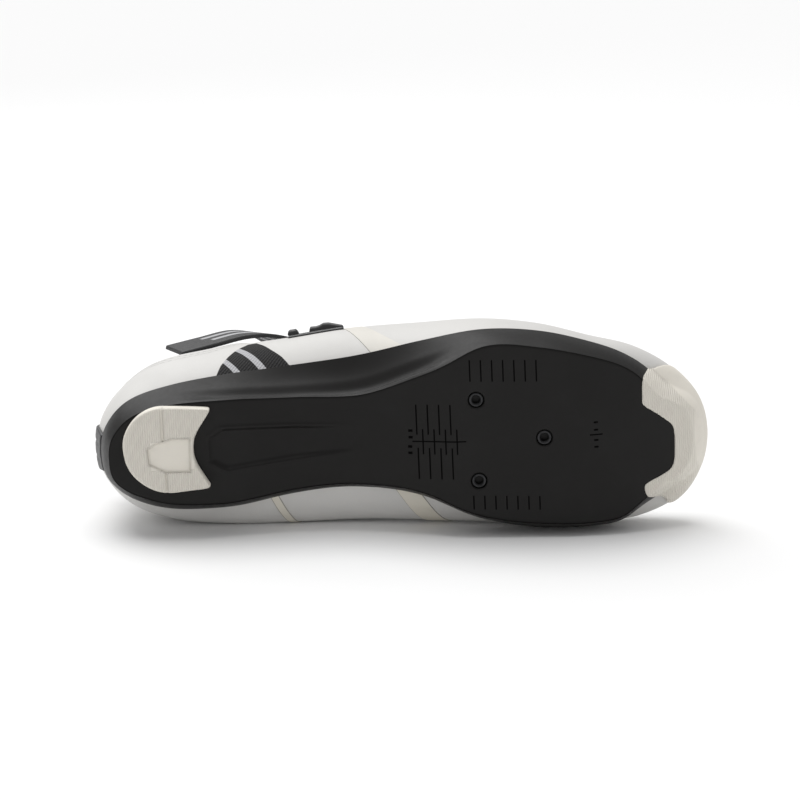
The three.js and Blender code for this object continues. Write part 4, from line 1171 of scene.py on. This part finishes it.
def build_toe_bumper():
    """Toe bumper: the toe of the sole grown by half a millimetre, cut out by its outline in plan,
    then rounded by a fine remesh and a light smoothing."""
    piece = sole_form("toe_bumper_tread", 0.5)
    outline = soft_outline(BUMPER, 330)
    shell = Shell()
    shares = np.linspace(1, 0, 4)[:, None, None]
    centre = np.array([285.0, 2.0])
    plan = centre + shares * (outline - centre)
    low = shell.grid(with_height(plan, 0 * plan[..., 0] - 30))
    high = shell.grid(with_height(plan, 0 * plan[..., 0] + 80))
    shell.cover(low, wrap=True)
    shell.cover(high[::-1], wrap=True)
    shell.cover(np.stack([high[0], low[0]]), wrap=True)
    cut(piece, "INTERSECT", shell.piece("bumper_outline", []))
    cut(piece, "DIFFERENCE", sole_form("bumper_core", -RAND))
    fine_remesh(piece, 0.42)
    soften = piece.modifiers.new("soften", "CORRECTIVE_SMOOTH")
    soften.factor, soften.iterations, soften.use_only_smooth = 0.6, 5, True
    apply_modifiers(piece)
    piece.data.materials.clear()

    def ribs(x, y, z):
        front = 1 - (x - z * 0.33).ramp(265.6, 266.2)
        return front * (y - x * 1.09).ramp(-303.1, -302.2)

    piece.data.materials.append(pad_rubber("toe bumper rubber", ribs))
    return settle(piece, "pad", "toe_bumper")


def build_footbed():
    """Footbed: 3 mm thick, follows the inside of the upper, its top dished under the heel by half
    a turn of a sine across it, its rim drawn in."""
    count = 170
    j = whole_round(count)
    inset = -(WALL + 2.5 * GAP)
    floor = skin(j, 0 * j, GAP + 0 * j)[:, 2] + GAP
    bottom = with_height(skin(j, 0 * j, inset + 0 * j), floor)
    rise = np.linspace(0, 1, 7)[:, None]
    side = bottom + rise[..., None] * np.array([0, 0, 3.0]) + 0 * j[:, None]
    shell = Shell()
    side = side - outward(j) * (0.9 * glide((rise - 0.6) / 0.4))[..., None]
    ids = shell.grid(side)
    shell.cover(ids, wrap=True)
    share = np.linspace(0, 1, 60)[1:-1]
    for row, deep in ((0, 0.0), (-1, 0.5)):
        sheet = lines_between(*across(side[row], count), share)
        dish = deep * np.sin(np.pi * share) * glide((90 - sheet[..., 0]) / 60)
        shell.fill(ids[row], with_height(sheet, sheet[..., 2] - dish), flip=row == -1)
    piece = settle(shell.piece("footbed", [footbed_cloth()]), "footbed", "insole")
    return piece


def build_tongue():
    """Padded tongue under the throat: sections 4.5 to 7.9, from inside one edge of the throat
    over the ridge to inside the other, with three sewn channels across it."""
    def place(u, v, d):
        k = mix(4.5, 7.9, u)
        edge = 1.52 + 0.25 * glide((k - 6.8) / 1.1)
        share = 2 * v - 1
        height = mix(2, edge, np.abs(share))
        j = np.where(share < 0, k, ROWS - k)
        return skin(j, height, d)

    def top(u, v):
        channels = sum(np.exp(-((u - c) / 0.018) ** 2) for c in (0.14, 0.34, 0.54))
        return -(WALL + 0.8) - 0.85 * channels * glide((0.5 - np.abs(v - 0.5)) / 0.12)

    piece = pillow(
        "tongue_pad", place, edged(130, 0.03), edged(90, 0.04), -(WALL + 3.8), top,
        (0.04, 0.05), tongue_synthetic())
    settle(piece, "upper_shell", "tongue")
    return piece


# The strap: side, height and lift, in its own thicknesses, where it lies on the upper, then both
# edges of its free end as shares of the length, the ball width and the height.
STRAP_ON = [(INNER, 1.2, .17), (INNER, 1.35, .17), (INNER, 1.55, .22), (INNER, 1.8, .44),
            (OUTER, 2., .56), (OUTER, 1.8, .89)]
STRAP_FREE_TOP = [(.29, -.25, 1.05), (.255, -.34, 1.02), (.216, -.37, .975), (.165, -.356, .893),
                  (.112, -.338, .812)]
STRAP_FREE_LOW = [(.345, -.285, .95), (.302, -.352, .885), (.254, -.374, .79), (.203, -.362, .69),
                  (.145, -.336, .625)]


def build_strap():
    """Instep strap: a plate between two curves, over the upper from the inner side across the
    ridge and free beside the collar, raised along the cross of its two directions."""
    def edge(k, free):
        on = [skin(np.array(around(side, k)), np.array(v), np.array(STRAP * lift))
              for side, v, lift in STRAP_ON]
        return np.array(on + [scaled(*row) for row in free])

    top, low = edge(4.78, STRAP_FREE_TOP), edge(5.50, STRAP_FREE_LOW)

    def ribbon(u, v):
        return mix(curve_through(top, u), curve_through(low, u), v[..., None])

    def place(u, v, d):
        step = 0.004
        along = ribbon(np.minimum(u + step, 1), v) - ribbon(np.maximum(u - step, 0), v)
        over = curve_through(low, u) - curve_through(top, u)
        return ribbon(u, v) + unit(np.cross(along, over)) * d[..., None]

    piece = pillow(
        "strap_webbing", place, edged(240, 0.012), edged(44, 0.05), 0.0, STRAP, (0.006, 0.035),
        strap_webbing())
    return settle(piece, "strap", "instep_strap")


def patch_place(patch):
    """Place on a patch: u runs up its height, v straight from its rear to its front edge."""
    def place(u, v, d):
        height = mix(patch["v"][0], patch["v"][-1], u)
        rear = np.interp(height, patch["v"], patch["rear"])
        front = np.interp(height, patch["v"], patch["front"])
        return skin(around(patch["side"], mix(rear, front, v)), height, d)
    return place


def build_patches():
    """Mesh panel and bands: plates that follow the upper, let in flush, their edges rounded."""
    upper, band = colours().upper, colours().band
    paler = tuple(0.5 * (a + b) for a, b in zip(upper, band))
    looks = {
        "side_mesh_panel": ("mesh", open_mesh(), 0.10),
        "outer_band": ("band", band_synthetic("outer band", paler, 0.028, 0.45), 0.14),
        "inner_rear_band": ("band", band_synthetic("inner rear band", band, 0.12, 0.75), 0.2),
        "inner_front_band": ("band", band_synthetic("inner front band", band, 0.05, 0.75), 0.2)}
    for name, patch in PATCHES.items():
        slot, material, proud = looks[name]
        piece = pillow(
            name + "_cloth", patch_place(patch), edged(90, 0.02), edged(60, 0.03), -0.6, proud,
            (0.012, 0.03), material)
        settle(piece, slot, name)


def build_heel_guard():
    """Heel tab: wrapped round the back of the heel, widest at mid height, moulded edges and two
    shallow flutes."""
    def place(u, v, d):
        height = mix(0.40, 1.18, u)
        reach = np.interp(height, [.4, .55, .75, 1, 1.18], [.66, .68, .7, .62, .42])
        return skin(mix(-reach, reach, v), height, d)

    def top(u, v):
        flutes = sum(np.exp(-((v - c) / 0.05) ** 2) for c in (0.32, 0.68))
        fade = glide(np.minimum(u, 1 - u) / 0.15)
        return 1.3 + 0.7 * glide((0.3 - u) / 0.3) - 0.3 * flutes * fade

    piece = pillow(
        "heel_guard", place, edged(50, 0.04), edged(70, 0.04), 0.2, top, (0.05, 0.045),
        moulded_black("heel tab moulding", 0.42))
    return settle(piece, "fitting", "heel_tab")


def raised(name, rises, low_v, high_v, base, node, radius, relief):
    """A buckle part that follows the outer side: its top stands above the upper by the profile of
    rises (section, height in mm) plus relief(u, v), rounded off towards its edges."""
    rises = np.array(rises)

    def place(u, v, d):
        k = mix(rises[0, 0], rises[-1, 0], u)
        return skin(k, mix(low_v, high_v, v), d)

    def top(u, v):
        height = np.interp(mix(rises[0, 0], rises[-1, 0], u), rises[:, 0], rises[:, 1])
        return height + relief(u, v)

    piece = pillow(
        name, place, edged(110, 0.03), edged(40, 0.06), base, top, radius,
        moulded_black(name + " moulding", 0.3))
    return settle(piece, "fitting", node)


def build_buckle():
    """Ratchet buckle on the outer shoulder: base plate with a toothed ladder, stop and lever."""
    def ladder(u, v):
        teeth = 0.28 * (np.abs(np.mod(u * 22, 1) - 0.5) * 2 - 0.5)
        teeth = teeth * glide((0.30 - np.abs(v - 0.5)) / 0.08)
        return teeth * glide((u - 0.22) / 0.03) * glide((0.44 - u) / 0.03)

    def pin(u, v):
        eye = np.exp(-(((u - 0.45) / 0.07) ** 2 + ((v - 0.5) / 0.12) ** 2) ** 2)
        return -0.7 * eye + 0.15 * np.exp(-((u - 0.28) / 0.03) ** 2)

    def notch(u, v):
        return -0.35 * np.exp(-((v - 0.5) / 0.16) ** 4) * glide(u / 0.2) * glide((1 - u) / 0.2)

    raised("buckle_plate", [(4.98, 1.1), (5.36, 1.1), (5.84, 1.1)], 1.02, 1.38, 0.2,
           "buckle_base", (0.04, 0.08), ladder)
    raised("buckle_catch", [(4.98, 2.6), (5.02, 3.5), (5.11, 3.5), (5.15, 2.4)], 1.05, 1.34, 1.1,
           "buckle_stop", (0.12, 0.10), notch)
    raised("buckle_arm",
           [(5.31, 2.4), (5.34, 3.4), (5.46, 3.3), (5.54, 4.3), (5.62, 4.1), (5.84, 1.9)],
           1.08, 1.30, 1.1, "buckle_lever", (0.05, 0.14), pin)


# The camera of the photograph: how far its axis leans outwards from the sole's normal, how far it
# is rolled, how far it stands from its aim in the standing shoe, in millimetres, and its lens.
LEAN, ROLL = math.radians(12), math.radians(2.5)
DISTANCE = 1400
AIM = (139.7, -15.85, 20.0)
LENS, SENSOR = 139.7, 36

# Half the floor's width in metres, and the strengths of the light all round and from above.
FLOOR = 12
SKY, SUN = 0.52, 1.75


def camera_frame():
    """Place, axes and aim of the camera in the world: its axis leans in the plane of Y and Z, and
    right and up are then turned by the roll."""
    towards = np.array([0, -math.sin(LEAN), -math.cos(LEAN)])
    right = np.array([1.0, 0, 0])
    up = np.array([0, -math.cos(LEAN), math.sin(LEAN)])
    rolled_right = math.cos(ROLL) * right - math.sin(ROLL) * up
    rolled_up = math.sin(ROLL) * right + math.cos(ROLL) * up
    axes = np.array([rolled_right, rolled_up, towards]) @ AXES
    return shoe_to_world(AIM + DISTANCE * towards), axes, shoe_to_world(AIM)


def build_lights(aim):
    """White light all round, a wide sun from above and a soft panel from the rear."""
    world = bpy.data.worlds.new("studio")
    world.use_nodes = True
    backdrop = world.node_tree.nodes["Background"]
    backdrop.inputs["Color"].default_value = (1, 1, 1, 1)
    backdrop.inputs["Strength"].default_value = SKY
    bpy.context.scene.world = world
    sky = bpy.data.lights.new("sky panel", "SUN")
    sky.energy, sky.angle = SUN, math.radians(50)
    add_object("sky panel", sky).rotation_euler = (math.radians(-14), math.radians(-8), 0)
    panel = bpy.data.lights.new("rear panel", "AREA")
    panel.shape, panel.size, panel.energy = "SQUARE", 0.8, 3
    lamp = add_object("rear panel", panel)
    lamp.location = (-0.5, 0.75, 0.8)
    lamp.rotation_euler = (lamp.location - Vector(aim)).to_track_quat("Z", "Y").to_euler()


def floor_paint():
    """White floor with broad faint clouds, over which its own width counts as 1."""
    f = Finish("floor paint", (0.93, 0.93, 0.93), 0.8)
    place = f.node("ShaderNodeTexCoord", output="Object")
    share = f.node("ShaderNodeMapping", {}, {
        "Vector": place, "Location": (0.5, 0.5, 0.5), "Scale": (0.5 / FLOOR, 0.5 / FLOOR, 0.5)})
    clouds = f.node("ShaderNodeTexNoise", {}, {"Vector": share, "Scale": 1.5})
    f.tint((0.91, 0.91, 0.91), clouds.ramp(0.3, 0.7) * 0.2)
    return f.done()


def build_stage():
    """Pale floor, lights, and the camera of the photograph."""
    corners = [(FLOOR * x, FLOOR * y, 0) for x, y in ((-1, -1), (1, -1), (1, 1), (-1, 1))]
    mesh = bpy.data.meshes.new("floor")
    mesh.from_pydata(corners, [], [(0, 1, 2, 3)])
    mesh.materials.append(floor_paint())
    add_object("floor", mesh)
    place, axes, aim = camera_frame()
    build_lights(aim)
    bpy.context.scene.view_settings.view_transform = "Standard"
    lens = bpy.data.cameras.new("camera")
    lens.sensor_width, lens.lens = SENSOR, LENS
    lens.clip_start, lens.clip_end = 0.05, 60
    camera = add_object("camera", lens)
    rows = [[*axes[:, row], place[row]] for row in range(3)]
    camera.matrix_world = Matrix([*rows, [0, 0, 0, 1]])
    bpy.context.scene.camera = camera


class SHOE_OT_stage(bpy.types.Operator):
    """Builds the floor, the lights and the camera."""
    bl_idname = "shoe.stage"
    bl_label = "Stage"

    def execute(self, context):
        build_stage()
        return {"FINISHED"}


class SHOE_OT_sole(bpy.types.Operator):
    """Builds the moulded sole with its bores."""
    bl_idname = "shoe.sole"
    bl_label = "Sole"

    def execute(self, context):
        build_sole()
        return {"FINISHED"}


class SHOE_OT_heel_pad(bpy.types.Operator):
    """Builds the ribbed pad under the heel."""
    bl_idname = "shoe.heel_pad"
    bl_label = "Heel pad"

    def execute(self, context):
        build_heel_pad()
        return {"FINISHED"}


class SHOE_OT_toe_bumper(bpy.types.Operator):
    """Builds the ribbed pad round the toe."""
    bl_idname = "shoe.toe_bumper"
    bl_label = "Toe bumper"

    def execute(self, context):
        build_toe_bumper()
        return {"FINISHED"}


class SHOE_OT_inserts(bpy.types.Operator):
    """Builds the three inserts in the sole."""
    bl_idname = "shoe.inserts"
    bl_label = "Threaded inserts"

    def execute(self, context):
        build_inserts()
        return {"FINISHED"}


class SHOE_OT_upper(bpy.types.Operator):
    """Builds the shell of the upper with its lining."""
    bl_idname = "shoe.upper"
    bl_label = "Upper"

    def execute(self, context):
        build_upper()
        return {"FINISHED"}


class SHOE_OT_binding(bpy.types.Operator):
    """Builds the binding of collar and throat."""
    bl_idname = "shoe.binding"
    bl_label = "Binding"

    def execute(self, context):
        build_binding()
        return {"FINISHED"}


class SHOE_OT_patches(bpy.types.Operator):
    """Builds the mesh panel and the bands."""
    bl_idname = "shoe.patches"
    bl_label = "Panels"

    def execute(self, context):
        build_patches()
        return {"FINISHED"}


class SHOE_OT_heel_guard(bpy.types.Operator):
    """Builds the tab at the back of the heel."""
    bl_idname = "shoe.heel_guard"
    bl_label = "Heel tab"

    def execute(self, context):
        build_heel_guard()
        return {"FINISHED"}


class SHOE_OT_strap(bpy.types.Operator):
    """Builds the instep strap."""
    bl_idname = "shoe.strap"
    bl_label = "Strap"

    def execute(self, context):
        build_strap()
        return {"FINISHED"}


class SHOE_OT_buckle(bpy.types.Operator):
    """Builds the plate, the catch and the arm of the buckle."""
    bl_idname = "shoe.buckle"
    bl_label = "Buckle"

    def execute(self, context):
        build_buckle()
        return {"FINISHED"}


class SHOE_OT_tongue(bpy.types.Operator):
    """Builds the padded tongue."""
    bl_idname = "shoe.tongue"
    bl_label = "Tongue"

    def execute(self, context):
        build_tongue()
        return {"FINISHED"}


class SHOE_OT_footbed(bpy.types.Operator):
    """Builds the removable footbed."""
    bl_idname = "shoe.footbed"
    bl_label = "Footbed"

    def execute(self, context):
        build_footbed()
        return {"FINISHED"}


STEPS = [
    SHOE_OT_stage, SHOE_OT_sole, SHOE_OT_heel_pad, SHOE_OT_toe_bumper,
    SHOE_OT_inserts, SHOE_OT_upper, SHOE_OT_binding, SHOE_OT_patches,
    SHOE_OT_heel_guard, SHOE_OT_strap, SHOE_OT_buckle, SHOE_OT_tongue,
    SHOE_OT_footbed]


class SHOE_PT_parts(bpy.types.Panel):
    """Lists the shoe's sizes, colours and steps."""
    bl_idname = "SHOE_PT_parts"
    bl_label = "Cycling shoe"
    bl_space_type = "VIEW_3D"
    bl_region_type = "UI"
    bl_category = "Shoe"

    def draw(self, context):
        for group in (context.scene.shoe_sizes, context.scene.shoe_colours):
            for name in group.bl_rna.properties.keys():
                if name not in ("rna_type", "name"):
                    self.layout.prop(group, name)
        for step in STEPS:
            self.layout.operator(step.bl_idname)


CLASSES = [ShoeSizes, ShoeColours, *STEPS, SHOE_PT_parts]


def register():
    """Registers the classes and hangs the sizes and colours on the scene."""
    for cls in CLASSES:
        bpy.utils.register_class(cls)
    bpy.types.Scene.shoe_sizes = PointerProperty(type=ShoeSizes)
    bpy.types.Scene.shoe_colours = PointerProperty(type=ShoeColours)


def unregister():
    """Takes away what register() added."""
    del bpy.types.Scene.shoe_colours
    del bpy.types.Scene.shoe_sizes
    for cls in reversed(CLASSES):
        bpy.utils.unregister_class(cls)


def main():
    """Builds the shoe step by step."""
    register()
    for step in STEPS:
        getattr(bpy.ops.shoe, step.bl_idname.split(".")[1])()


if __name__ == "__main__":
    main()
